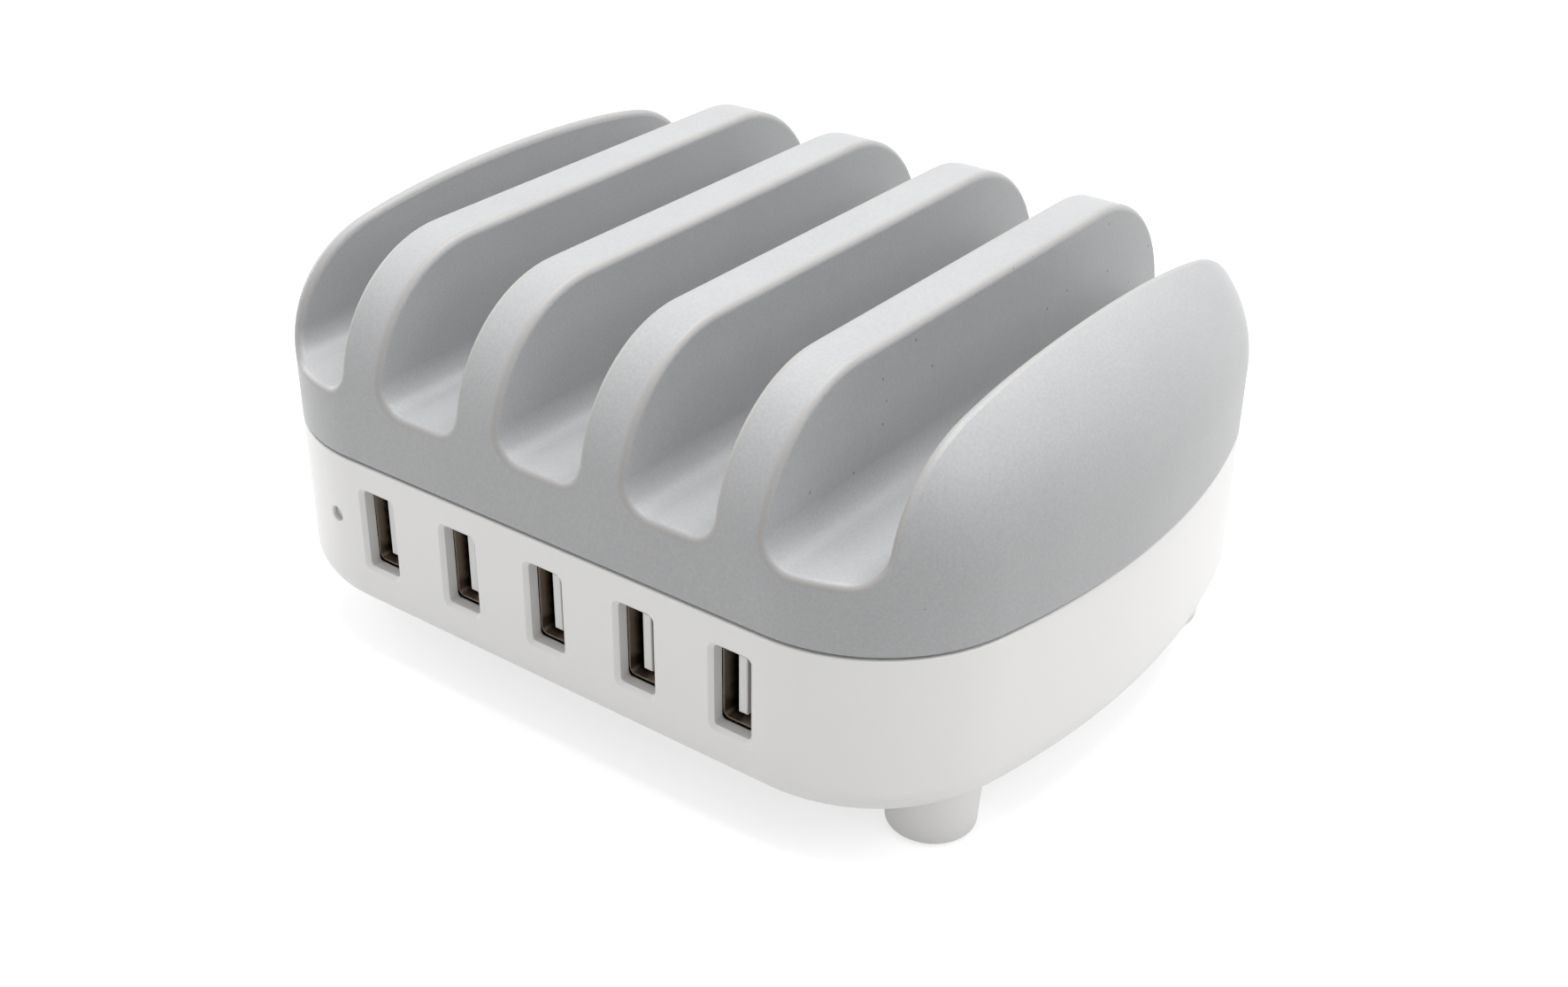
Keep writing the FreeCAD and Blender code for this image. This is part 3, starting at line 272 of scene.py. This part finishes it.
def grained(name, low, high, rough, fine=2500.0, broad=35.0, fine_share=0.35, stretch=(1, 1, 1), bump=0.02,
            **values):
    """Principled shader whose colour, roughness and bump come from the grain group; bump is in mm."""
    finish = new_material(name, **values)
    grain = place_group(finish.tree, GRAIN, {
        "Fine Scale": fine, "Broad Scale": broad, "Fine Share": fine_share, "Stretch": stretch,
        "Low Colour": (*low, 1), "High Colour": (*high, 1),
        "Low Roughness": rough[0], "High Roughness": rough[1]})
    relief = add_node(finish.tree, "Bump")
    relief.inputs["Strength"].default_value = 1.0
    relief.inputs["Distance"].default_value = bump * MM
    link = finish.tree.links.new
    link(grain.outputs["Colour"], finish.shader.inputs["Base Color"])
    link(grain.outputs["Roughness"], finish.shader.inputs["Roughness"])
    link(grain.outputs["Height"], relief.inputs["Height"])
    link(relief.outputs["Normal"], finish.shader.inputs["Normal"])
    return finish._replace(colour=grain.outputs["Colour"])


print("grained finishes ready")

# %% [markdown]
# ## The white tray
#
# The tray is a smooth satin moulding. It could be one flat white, but a real moulding has a faint
# orange-peel tooth and a hardly visible drift in tone, which the grain group gives at low contrast.

# %% White moulded plastic


def paint(finish, *names):
    """Gives a finish to CAD nodes by filling their material slots."""
    for name in names:
        slots = nodes[name].data.materials
        slots.clear()
        slots.append(finish.material)
    print(finish.material.name, "on", len(names), "nodes" if len(names) > 1 else "node")


white_plastic = grained("white_plastic", low=(0.835, 0.828, 0.815), high=(0.875, 0.868, 0.858),
                        rough=(0.34, 0.42), fine=1800.0, broad=22.0, bump=0.004)
paint(white_plastic, "base_shell")

# %% [markdown]
# ## Places and ramps in a shader
#
# Some finishes change with the place on the object: the rims of the slots, the depth of a socket. A
# painted map could hold this, but the place itself, in metres, is at hand as Object coordinates, and a
# smooth ramp turns it into a mask.

# %% Place and ramp


def object_axes(tree):
    """Sockets X, Y and Z of a point's place in Object coordinates."""
    split = add_node(tree, "SeparateXYZ")
    tree.links.new(add_node(tree, "TexCoord").outputs["Object"], split.inputs["Vector"])
    return split.outputs


def ramp(tree, value, start, end, low=0.0, high=1.0):
    """Smooth step from low to high while a value goes from start to end."""
    step = add_node(tree, "MapRange", interpolation_type="SMOOTHSTEP")
    for label, number in (("From Min", start), ("From Max", end), ("To Min", low), ("To Max", high)):
        step.inputs[label].default_value = number
    tree.links.new(value, step.inputs["Value"])
    return step.outputs["Result"]


print("place and ramp ready")

# %% [markdown]
# ## The rim of a slot
#
# Where the skin turns over the edge of a slot it is stretched and handled most, and it is tinted a little
# warmer than the flat faces: partly wear, and partly a painted warm highlight for the light the rounded
# lips catch. The rims could be cut out as pieces of their own, but they belong to one moulding, so a mask
# finds them: it measures how far a point lies outside the slot's own outline, a rounded U that repeats
# along X, and keeps the first millimetre or so.

# %% The slot rim group
RIM_RISE, RIM_FALL = (0.05, 0.4), (1.4, 0.7)  # in widths of the rim, outwards from the slot


def make_slot_rim():
    """Distance from a rounded U in X and Z, repeated along X, turned into a band just outside it.

    A point's distance across from the middle of the nearest slot, less the flat half of the floor, and
    its depth under the start of the floor's rounding are the legs of a right triangle. The distance is
    the long side of that triangle, less the corner's radius.
    """
    tree, given, result = new_group(
        "slot_rim",
        [("Pitch", "Float", 0.03), ("Last Slot", "Float", 2.0), ("Half Width", "Float", 0.01),
         ("Floor", "Float", 0.05), ("Corner", "Float", 0.005), ("Rim", "Float", 0.001)],
        [("Mask", "Float")])
    size, place = given.outputs, object_axes(tree)

    def work(operation, first, second=0.0):
        return add_math(tree, operation, first, second)

    count = work("ROUND", work("DIVIDE", place["X"], size["Pitch"]))
    count = work("MINIMUM", count, size["Last Slot"])
    count = work("MAXIMUM", count, work("MULTIPLY", size["Last Slot"], -1.0))
    offset = work("ABSOLUTE", work("SUBTRACT", place["X"], work("MULTIPLY", count, size["Pitch"])))
    across = work("SUBTRACT", offset, work("SUBTRACT", size["Half Width"], size["Corner"]))
    under = work("SUBTRACT", work("ADD", size["Floor"], size["Corner"]), place["Z"])
    squares = [work("POWER", work("MAXIMUM", leg, 0.0), 2.0) for leg in (across, under)]
    long_side = work("SQRT", work("ADD", *squares))
    outside = work("DIVIDE", work("SUBTRACT", long_side, size["Corner"]), size["Rim"])
    mask = work("MULTIPLY", ramp(tree, outside, *RIM_RISE), ramp(tree, outside, *RIM_FALL))
    tree.links.new(mask, result.inputs["Mask"])
    return tree


SLOT_RIM = make_slot_rim()
print("group:", SLOT_RIM.name)

# %% [markdown]
# ## The soft grey skin
#
# The rack's skin is matt and a little dusty to the touch: a cool light grey with a fine speckle, a
# few darker flecks from the moulding, and warmer rims round the slots. The speckle is the grain with a
# large share of its fine noise. The flecks and the rims could be materials of their own, but a mask
# keeps them in one finish, so each is laid over the colour with a mix.

# %% Soft grey skin
SLOTS = {"Pitch": 27.56 * MM, "Last Slot": 2.0, "Half Width": 8.93 * MM, "Floor": 53.9 * MM,
         "Corner": 5.0 * MM, "Rim": 1.2 * MM}
# The rim tint is partly wear and partly a painted warm highlight on the slots' lips.
RIM_STRENGTH, RIM_WEAR_AND_HIGHLIGHT_TINT = 0.6, (0.380, 0.367, 0.345)
SKIN_FLECKS, FLECK_COLOUR = {"Scale": 260.0, "Size": 0.075, "Share": 0.06}, (0.20, 0.21, 0.22)


def lay_over(finish, below, mask, colour):
    """Mixes a plain colour over another where a mask is high; the result becomes the finish's colour."""
    mix = add_node(finish.tree, "Mix", data_type="RGBA")
    mix.inputs["B"].default_value = (*colour, 1)
    finish.tree.links.new(mask, mix.inputs["Factor"])
    finish.tree.links.new(below, mix.inputs["A"])
    finish.tree.links.new(mix.outputs["Result"], finish.shader.inputs["Base Color"])
    return mix.outputs["Result"]


grey_skin = grained("grey_skin", low=(0.315, 0.319, 0.325), high=(0.486, 0.490, 0.496), rough=(0.38, 0.52),
                    fine=2000.0, broad=60.0, fine_share=0.75, Sheen_Weight=0.15, Sheen_Roughness=0.5)
rims = place_group(grey_skin.tree, SLOT_RIM, SLOTS)
dots = place_group(grey_skin.tree, FLECKS, SKIN_FLECKS)
faint_rims = add_math(grey_skin.tree, "MULTIPLY", rims.outputs["Mask"], RIM_STRENGTH)
rimmed = lay_over(grey_skin, grey_skin.colour, faint_rims, RIM_WEAR_AND_HIGHLIGHT_TINT)
lay_over(grey_skin, rimmed, dots.outputs["Mask"], FLECK_COLOUR)
paint(grey_skin, "rack_cover")

# %% [markdown]
# ## Dark mouldings and rubber
#
# The stiff frame shows only as a dark line in the seam; its near-black colour is a painted shade for the
# gap there. The inlet, the switch and the small housings are black plastic with a spark-eroded texture,
# the foot pads are matt rubber, and the cores on the board are rough ferrite. One black could serve for
# all, but they differ in depth of tone, gloss and tooth, so each has its own line of the same finish.

# %% Dark plastics, rubber and ferrite
# Painted shade: the frame is near-black so the seam between skin and tray reads as a shaded gap.
frame_plastic = grained("frame_plastic", low=(0.055, 0.056, 0.06), high=(0.075, 0.076, 0.08), rough=(0.5, 0.62))
black_plastic = grained("black_plastic", low=(0.016, 0.016, 0.018), high=(0.026, 0.026, 0.028),
                        rough=(0.36, 0.5), fine=3200.0, bump=0.03)
pad_rubber = grained("pad_rubber", low=(0.10, 0.10, 0.105), high=(0.14, 0.14, 0.145), rough=(0.62, 0.8),
                     fine=1400.0, bump=0.04)
ferrite = grained("ferrite", low=(0.045, 0.045, 0.05), high=(0.085, 0.085, 0.09), rough=(0.55, 0.75),
                  fine=1200.0, bump=0.05)
paint(frame_plastic, "rack_frame")
paint(black_plastic, "led_holder", "mains_inlet", "switch_housing", "power_rocker", "power_transistor",
      "bridge_rectifier", "charge_chips")
paint(pad_rubber, *family("foot_pad", 4))
paint(ferrite, "transformer_core", "filter_choke")

# %% [markdown]
# ## The socket shells
#
# The shells are warm, dull plated strip. Plain grey metal would look like polished sheet, so the grain is
# stretched along the rolling direction and the highlights run across it. Away from the mouth the strip
# is darkened to near-black, a painted shade for the deep back of the socket, which a ramp along the
# depth of the socket lays over the colour.

# %% Socket strip
# Painted shade: from DARK_FROM inwards the strip is laid over with near-black for the shade deep in the socket.
BRIGHT_UP_TO, DARK_FROM, DEEP_SOCKET_SHADE = 0.7 * MM, 2.4 * MM, (0.022, 0.018, 0.015)
socket_steel = grained("socket_steel", low=(0.25, 0.205, 0.165), high=(0.36, 0.30, 0.25), rough=(0.24, 0.36),
                       fine=900.0, broad=200.0, stretch=(1, 0.08, 1), bump=0.004, Metallic=1.0)
depth = ramp(socket_steel.tree, object_axes(socket_steel.tree)["Y"], SOCKET_FRONT + BRIGHT_UP_TO,
             SOCKET_FRONT + DARK_FROM)
lay_over(socket_steel, socket_steel.colour, depth, DEEP_SOCKET_SHADE)
paint(socket_steel, *family("usb_shell", PORTS))

# %% [markdown]
# ## The other metals
#
# The contacts and pins are plated brass, the screws are zinc plated, and the heat sink is drawn aluminium.
# All are the grained finish with Metallic at one; the stretch lies along the way each was rolled or drawn,
# and the screws, which are small and turned, have none.

# %% Brass, zinc and aluminium
contact_brass = grained("contact_brass", low=(0.72, 0.55, 0.26), high=(0.83, 0.67, 0.36), rough=(0.2, 0.32),
                        fine=1500.0, broad=150.0, stretch=(1, 0.1, 1), bump=0.004, Metallic=1.0)
screw_steel = grained("screw_steel", low=(0.55, 0.55, 0.56), high=(0.66, 0.66, 0.67), rough=(0.28, 0.42),
                      bump=0.006, Metallic=1.0)
sink_aluminium = grained("sink_aluminium", low=(0.62, 0.63, 0.65), high=(0.74, 0.75, 0.76),
                         rough=(0.32, 0.45), fine=1500.0, stretch=(1, 1, 0.06), bump=0.01, Metallic=1.0)
paint(contact_brass, "inlet_pins", *family("usb_contacts", PORTS))
paint(screw_steel, "case_screws", "board_screws")
paint(sink_aluminium, "heat_sink")

# %% [markdown]
# ## The tongues in the sockets
#
# A tongue is white nylon, a little warm and glossier than the tray, on a block that closes the shell
# behind it. Both are one node of the frame, so instead of a second material the depth along Y picks the
# colour: past the front of the block it is near-black, a painted shade for the deep back of the socket.

# %% Socket tongues
# Painted shade: past the front of the block the colour is near-black for the shade at the back of the socket.
BLOCK_SETBACK, BLOCK_DEPTH_SHADE = 9.45 * MM, (0.018, 0.017, 0.016)
socket_plastic = grained("socket_plastic", low=(0.76, 0.76, 0.75), high=(0.84, 0.84, 0.83),
                         rough=(0.25, 0.36), bump=0.005)
behind = add_math(socket_plastic.tree, "GREATER_THAN", object_axes(socket_plastic.tree)["Y"],
                  SOCKET_FRONT + BLOCK_SETBACK)
lay_over(socket_plastic, socket_plastic.colour, behind, BLOCK_DEPTH_SHADE)
paint(socket_plastic, *family("usb_insulator", PORTS))

# %% [markdown]
# ## The circuit board and its parts
#
# The board is hidden in use, but the model can be opened, so its parts aren't left plain: there is tape on
# the winding, a shrunk sleeve on the cans, a moulded case on the film capacitor and solder resist on the
# board. The solder could be hundreds of small domes, but the fleck group gives it as a mask, which lays on
# its colour and makes it metal.

# %% Board and board parts
SOLDER_DOTS, SOLDER = {"Scale": 190.0, "Size": 0.2, "Share": 0.3}, (0.55, 0.56, 0.57)
winding_tape = grained("winding_tape", low=(0.62, 0.43, 0.04), high=(0.72, 0.52, 0.07), rough=(0.3, 0.42),
                       stretch=(1, 0.1, 1), bump=0.03)
can_sleeve = grained("can_sleeve", low=(0.012, 0.014, 0.022), high=(0.022, 0.026, 0.04), rough=(0.2, 0.3),
                     bump=0.01)
film_case = grained("film_case", low=(0.58, 0.42, 0.05), high=(0.68, 0.50, 0.08), rough=(0.4, 0.5), bump=0.01)
board_laminate = grained("board_laminate", low=(0.010, 0.085, 0.035), high=(0.018, 0.12, 0.05),
                         rough=(0.22, 0.32), fine=900.0, bump=0.01)
soldered = place_group(board_laminate.tree, FLECKS, SOLDER_DOTS).outputs["Mask"]
lay_over(board_laminate, board_laminate.colour, soldered, SOLDER)
board_laminate.tree.links.new(soldered, board_laminate.shader.inputs["Metallic"])
paint(winding_tape, "transformer_winding")
paint(can_sleeve, *family("bulk_capacitor", 2), *family("output_capacitor", 3))
paint(film_case, "filter_capacitor")
paint(board_laminate, "main_board")

# %% [markdown]
# ## The pilot light's guide and the glass fuse
#
# The light guide is frosted. Clear glass would show the dark hole behind it, so it is a pale plastic that
# scatters some light under its skin. The lamp behind it is a glossy resin, and the fuse barrel is glass
# that lets a little more than half of the light through.

# %% Light guide, lamp and fuse
light_guide = grained("light_guide", low=(0.52, 0.52, 0.52), high=(0.60, 0.60, 0.60), rough=(0.38, 0.5),
                      bump=0.01, Subsurface_Weight=0.2, Subsurface_Scale=0.001)
led_lens = grained("led_lens", low=(0.62, 0.68, 0.72), high=(0.72, 0.78, 0.82), rough=(0.12, 0.2),
                   bump=0.002, IOR=1.52)
fuse_glass = grained("fuse_glass", low=(0.78, 0.80, 0.80), high=(0.86, 0.88, 0.88), rough=(0.05, 0.1),
                     bump=0.001, Transmission_Weight=0.6, IOR=1.5)
paint(light_guide, "light_pipe")
paint(led_lens, "status_led")
paint(fuse_glass, "fuse")

# %% [markdown]
# ## Small formed parts, as rings of points
#
# What is left to add are small parts with a section that is carried along a path: spring leaves, a lens,
# printed marks. The points of the section at one step of the path are a ring, so a whole part is one
# array of rings, and joining ring to ring is only index arithmetic on that array.

# %% From rings to a mesh
SMOOTH_UNDER = math.radians(35)


def ring_mesh(name, rings, round_trip=False):
    """Quads join every ring to the next; flat caps close the ends, or the last ring joins the first."""
    tubes, steps, around, _ = rings.shape
    index = np.arange(tubes * steps * around).reshape(tubes, steps, around)
    here, there = (index, np.roll(index, -1, axis=1)) if round_trip else (index[:, :-1], index[:, 1:])
    quads = np.stack((here, np.roll(here, -1, axis=2), np.roll(there, -1, axis=2), there), axis=-1)
    faces = quads.reshape(-1, 4).tolist()
    if not round_trip:
        faces += index[:, 0, ::-1].tolist() + index[:, -1].tolist()
    mesh = bpy.data.meshes.new(name)
    mesh.from_pydata(rings.reshape(-1, 3).tolist(), [], faces)
    mesh.shade_smooth()
    mesh.set_sharp_from_angle(angle=SMOOTH_UNDER)
    return mesh


def circle(count):
    """Angles of evenly spaced points round a full turn."""
    return np.linspace(0, 2 * np.pi, count, endpoint=False)


def oval(count, power):
    """Superellipse of half size one: cosine and sine, each with its size raised to the power."""
    wave = np.stack((np.cos(circle(count)), np.sin(circle(count))))
    return np.sign(wave) * np.abs(wave) ** power


print("ring tools ready")

# %% [markdown]
# ## Spring leaves in the sockets
#
# Each steel shell has four slots, and in each slot a leaf, cut free on three sides, bows into the mouth to
# grip the plug. It could be bent from a solid in the CAD model, but thin bent strip is simpler as a surface:
# a rounded section whose path leaves the wall at the back of the slot, bows in and turns back at its tip.

# %% Spring leaves
LEAF_WIDTH, LEAF_THICKNESS, LEAF_SPACING = 1.25 * MM, 0.22 * MM, 5.6 * MM
LEAF_ROOT, LEAF_TIP, LEAF_BOW = 8.65 * MM, 4.35 * MM, 0.36 * MM
LEAF_STEPS, LEAF_AROUND, LEAF_ROUNDING = 17, 16, 0.5
BOW_TURN = 0.74 * np.pi
WALL_MIDDLE = 2.70 * MM
LEAF_SIDES, LEAF_ROWS = np.array((-1, -1, 1, 1)), np.array((-1, 1, -1, 1))


def leaf_rings(centre):
    """Root to tip along y; the bow is a sine that is past its top at the tip; the section is an oval."""
    step = np.linspace(0, 1, LEAF_STEPS)
    across = oval(LEAF_AROUND, LEAF_ROUNDING)
    path = LEAF_SIDES[:, None] * (WALL_MIDDLE - LEAF_BOW * np.sin(BOW_TURN * step))
    rings = np.empty((LEAF_SIDES.size, LEAF_STEPS, LEAF_AROUND, 3))
    rings[..., 0] = centre[0] + path[:, :, None] + LEAF_THICKNESS / 2 * across[0]
    rings[..., 1] = (SOCKET_FRONT + LEAF_ROOT + (LEAF_TIP - LEAF_ROOT) * step)[None, :, None]
    rings[..., 2] = centre[2] + (LEAF_ROWS * LEAF_SPACING / 2)[:, None, None] + LEAF_WIDTH / 2 * across[1]
    return rings


def add_piece(mesh, finish, body):
    """Puts a mesh into the scene with its finish, on the body that carries it."""
    piece = bpy.data.objects.new(mesh.name, mesh)
    mesh.materials.append(finish.material)
    bpy.context.scene.collection.objects.link(piece)
    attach(piece, body)
    print("piece:", piece.name, "on", body)


for port, centre in enumerate(socket_centres, start=1):
    add_piece(ring_mesh(f"socket_springs_{port}", leaf_rings(centre)), socket_steel, STATION)

# %% [markdown]
# ## The pilot light's lens
#
# The light guide ends in a low dome, which spreads the light to the sides. A squashed sphere would do, but
# only its cap shows, so the lens is a disc whose rings shrink with the cosine of an angle while they rise
# with its sine.

# %% Pilot lens
LENS_RISE, LENS_INSET, LENS_SINK = 0.35 * MM, 0.02 * MM, 0.03 * MM
LENS_TOP, LENS_STEPS, LENS_AROUND = math.radians(84), 14, 48


def lens_rings(guide_low, guide_high):
    """Quarter of an ellipse turned round the guide's axis, from the guide's rim to near its middle."""
    centre = (guide_low + guide_high) / 2
    radius = (guide_high[0] - guide_low[0]) / 2 - LENS_INSET
    lift = np.linspace(0, LENS_TOP, LENS_STEPS)[:, None]
    turn = circle(LENS_AROUND)[None, :]
    rings = np.empty((1, LENS_STEPS, LENS_AROUND, 3))
    rings[0, ..., 0] = centre[0] + radius * np.cos(lift) * np.cos(turn)
    rings[0, ..., 1] = guide_low[1] - LENS_RISE * np.sin(lift) + LENS_SINK
    rings[0, ..., 2] = centre[2] + radius * np.cos(lift) * np.sin(turn)
    return rings


add_piece(ring_mesh("pilot_lens", lens_rings(*corners("light_pipe"))), light_guide, STATION)

# %% [markdown]
# ## The faces of the rocker
#
# The rocker carries two printed marks. They could be drawn by a material, but the print has a body that can
# just be felt, so they are thin pieces. It is easiest to work them out flat: this function puts flat points
# on one of the rocker's two faces, which slope away from its middle, and turns them with it to its rest.

# %% From flat to the rocker's face
PIVOT = np.array(frame["joints"][0]["pos_m"])
REST_TILT = math.radians(8.0)
FACE_LOW, FACE_HIGH, FACE_RISE = 2.0 * MM, 3.3 * MM, 3.5 * MM


def on_face(side, flat):
    """Flat points (across, up, out) on the upper or lower face of the level rocker, turned by the tilt."""
    slope = math.atan2(FACE_HIGH - FACE_LOW, FACE_RISE)
    across = np.array((-side, 0, 0))
    up = np.array((0, math.sin(slope), side * math.cos(slope)))
    out = np.array((0, math.cos(slope), -side * math.sin(slope)))
    face_middle = np.array((0, (FACE_LOW + FACE_HIGH) / 2, side * FACE_RISE / 2))
    level = face_middle + flat @ np.array((across, up, out))
    turn = np.array(((1, 0, 0), (0, math.cos(REST_TILT), -math.sin(REST_TILT)),
                     (0, math.sin(REST_TILT), math.cos(REST_TILT))))
    return PIVOT + level @ turn.T


print("rocker turns about", in_mm(PIVOT), "mm")

# %% [markdown]
# ## Marks on the rocker
#
# The two usual marks are a ring for off and a bar for on. Letters could be used instead, but the signs are
# what such a switch has. The ring is an oval section carried round a circle; the bar is a long oval drawn
# in a little on its top. Both go into the face by the ink's height, so no gap shows.

# %% Rocker marks
RING_RADIUS, BAR_LENGTH, STROKE, INK = 0.95 * MM, 2.1 * MM, 0.34 * MM, 0.05 * MM
RING_STEPS, RING_AROUND, RING_ROUNDING = 56, 12, 0.6
BAR_AROUND, BAR_ROUNDING = 40, 0.45
BAR_SIZES, BAR_HEIGHTS = np.array((1.0, 1.0, 0.86)), INK * np.array((-1.0, 0.7, 1.0))


def ring_mark():
    """Oval section carried round a circle: radius plus the section's width, and the ink's height."""
    turn = circle(RING_STEPS)[:, None]
    section = oval(RING_AROUND, RING_ROUNDING)
    radius = RING_RADIUS + STROKE / 2 * section[0]
    height = INK * section[1] + 0 * turn
    return np.stack((radius * np.sin(turn), radius * np.cos(turn), height), axis=-1)[None]


def bar_mark():
    """Long oval in three rings: sunk into the face, near the ink's height, and drawn in on its top."""
    edge = oval(BAR_AROUND, BAR_ROUNDING)
    size = BAR_SIZES[:, None]
    height = BAR_HEIGHTS[:, None] + 0 * edge[:1]
    return np.stack((STROKE / 2 * size * edge[0], BAR_LENGTH / 2 * size * edge[1], height), axis=-1)[None]


mark_ink = grained("mark_ink", low=(0.74, 0.74, 0.73), high=(0.82, 0.82, 0.81), rough=(0.45, 0.6), bump=0.01)
add_piece(ring_mesh("off_mark", on_face(1, ring_mark()), round_trip=True), mark_ink, ROCKER)
add_piece(ring_mesh("on_mark", on_face(-1, bar_mark())), mark_ink, ROCKER)

# %% [markdown]
# ## Floor
#
# The object stands on a plain pale floor. A nearly white floor would throw so much light back up that
# the white tray lost its shading, so the floor is a light grey. What the camera and the glossy parts see
# of it also glows, more with distance, so it meets the white surround while the soft shadow stays.

# %% Floor
WHITE = (1, 1, 1, 1)
FLOOR_HALF, FLOOR_GREY = 3.0, (0.56, 0.56, 0.56, 1)
GLOW_FROM, GLOW_TO = 0.25, 0.9  # metres from the middle
GLOW_NEAR, GLOW_FAR = 0.66, 1.0  # strength, where one is white


def seen_directly(tree):
    """One on rays from the camera, or by way of gloss or glass, and zero on the others."""
    rays = add_node(tree, "LightPath").outputs
    mirrored = add_math(tree, "MAXIMUM", rays["Is Glossy Ray"], rays["Is Transmission Ray"])
    return add_math(tree, "MAXIMUM", rays["Is Camera Ray"], mirrored)


def floor_glow(tree):
    """Ramp on the length of a point's place, from the near glow to the far one, on rays that see it."""
    distance = add_node(tree, "VectorMath", operation="LENGTH")
    tree.links.new(add_node(tree, "TexCoord").outputs["Object"], distance.inputs[0])
    rise = ramp(tree, distance.outputs["Value"], GLOW_FROM, GLOW_TO, GLOW_NEAR, GLOW_FAR)
    return add_math(tree, "MULTIPLY", seen_directly(tree), rise)


floor_finish = new_material("floor_finish", Base_Color=FLOOR_GREY, Roughness=0.9, Specular_IOR_Level=0.0,
                            Emission_Color=WHITE)
floor_finish.tree.links.new(floor_glow(floor_finish.tree), floor_finish.shader.inputs["Emission Strength"])
square = FLOOR_HALF * np.array([(-1, -1, 0), (1, -1, 0), (1, 1, 0), (-1, 1, 0)])
floor = bpy.data.objects.new("floor", bpy.data.meshes.new("floor"))
floor.data.from_pydata(square.tolist(), [], [(0, 1, 2, 3)])
floor.data.materials.append(floor_finish.material)
bpy.context.scene.collection.objects.link(floor)
floor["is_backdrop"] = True
print("floor:", 2 * FLOOR_HALF, "m wide")

# %% [markdown]
# ## Surround
#
# The photograph has a white background. A white world would light the object from everywhere and flatten
# it, so the surround is white only to the camera, to gloss and to glass, and lights the object as a soft
# fill.

# %% Surround
FILL_LEVEL, SEEN_LEVEL = 0.44, 1.0
world = bpy.data.worlds.new("surround")
bpy.context.scene.world = world
world.use_nodes = True
sky = world.node_tree
sky.nodes.clear()
chosen = add_node(sky, "MixShader")
sky.links.new(seen_directly(sky), chosen.inputs[0])
for entry, level in ((1, FILL_LEVEL), (2, SEEN_LEVEL)):
    light = add_node(sky, "Background")
    light.inputs["Color"].default_value = WHITE
    light.inputs["Strength"].default_value = level
    sky.links.new(light.outputs[0], chosen.inputs[entry])
sky.links.new(chosen.outputs[0], add_node(sky, "OutputWorld").inputs["Surface"])
print("surround:", FILL_LEVEL, "as fill,", SEEN_LEVEL, "as seen")

# %% [markdown]
# ## Lamps
#
# One large lamp overhead does most of the work, two smaller ones at the sides draw the rack's walls
# apart, and a weak one from the left keeps the socket side from falling into shade. Area lamps are used
# because their size makes the shadows soft. Each faces the middle of the object.

# %% Lamps
UP, TARGET = np.array((0, 0, 1.0)), np.array((0, 0, 0.045))
LAMPS = {  # place and side in metres, power in watts
    "overhead_lamp": ((0, 0.22, 0.98), 0.8, 11.0),
    "right_lamp": ((0.8, 0.15, 0.7), 0.6, 2.7),
    "left_lamp": ((-0.95, 0, 0.42), 0.6, 3.3),
    "socket_lamp": ((-0.4, -0.84, 0.36), 0.6, 1.05),
}


def add_placed(name, data, right, up, back, place):
    """Adds a lamp or camera; its matrix has the three axes and the place as columns."""
    axes = np.eye(4)
    axes[:3] = np.column_stack((right, up, back, place))
    placed = bpy.data.objects.new(name, data)
    placed.matrix_world = Matrix(axes.tolist())
    bpy.context.scene.collection.objects.link(placed)
    return placed


def soft_lamp(name, place, side, power):
    """Square area lamp: its back axis runs from the target to its place, and its right axis is level."""
    data = bpy.data.lights.new(name, "AREA")
    data.shape, data.size, data.energy = "SQUARE", side, power
    back = (place - TARGET) / np.linalg.norm(place - TARGET)
    right = np.cross(UP, back) / np.linalg.norm(np.cross(UP, back))
    add_placed(name, data, right, np.cross(back, right), back, place)


for name, (place, side, power) in LAMPS.items():
    soft_lamp(name, np.array(place), side, power)
print("lamps:", *LAMPS)

# %% [markdown]
# ## Camera
#
# The camera was solved from the row of sockets, the rack's edges and the outline of the body: it looks
# down by about thirty degrees, from the right of the socket side, with a normal lens and a small roll.
# A Track To constraint has no roll, so the axes are written out. The roll turns two of them about the
# line of sight.

# %% Camera
LENS, SENSOR, CLIP_START = 45.583, 36.0, 0.01
AZIMUTH, ELEVATION, ROLL = math.radians(36.5107), math.radians(29.6808), math.radians(0.64)
CAMERA_PLACE = np.array((200.13, -265.726, 211.466)) * MM


def look_axes(azimuth, elevation, roll):
    """Right, up and back of a level camera at this azimuth and elevation, turned by the roll about back."""
    back = np.array((math.sin(azimuth) * math.cos(elevation), -math.cos(azimuth) * math.cos(elevation),
                     math.sin(elevation)))
    right = np.array((math.cos(azimuth), math.sin(azimuth), 0.0))
    up = np.cross(back, right)
    return math.cos(roll) * right + math.sin(roll) * up, math.cos(roll) * up - math.sin(roll) * right, back


camera_data = bpy.data.cameras.new("camera")
camera_data.lens, camera_data.sensor_width, camera_data.clip_start = LENS, SENSOR, CLIP_START
bpy.context.scene.camera = add_placed("camera", camera_data, *look_axes(AZIMUTH, ELEVATION, ROLL), CAMERA_PLACE)
bpy.context.scene.view_settings.view_transform = "Standard"
print("camera at", in_mm(CAMERA_PLACE), "mm")

# %% [markdown]
#
# The dressed model has to stay in the CAD model's box. The two could be compared by eye, but numbers are
# surer, so the dressed model's box is printed.

# %% Finish
low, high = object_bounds()
print("visual box:", in_mm((*low, *high)), "mm")
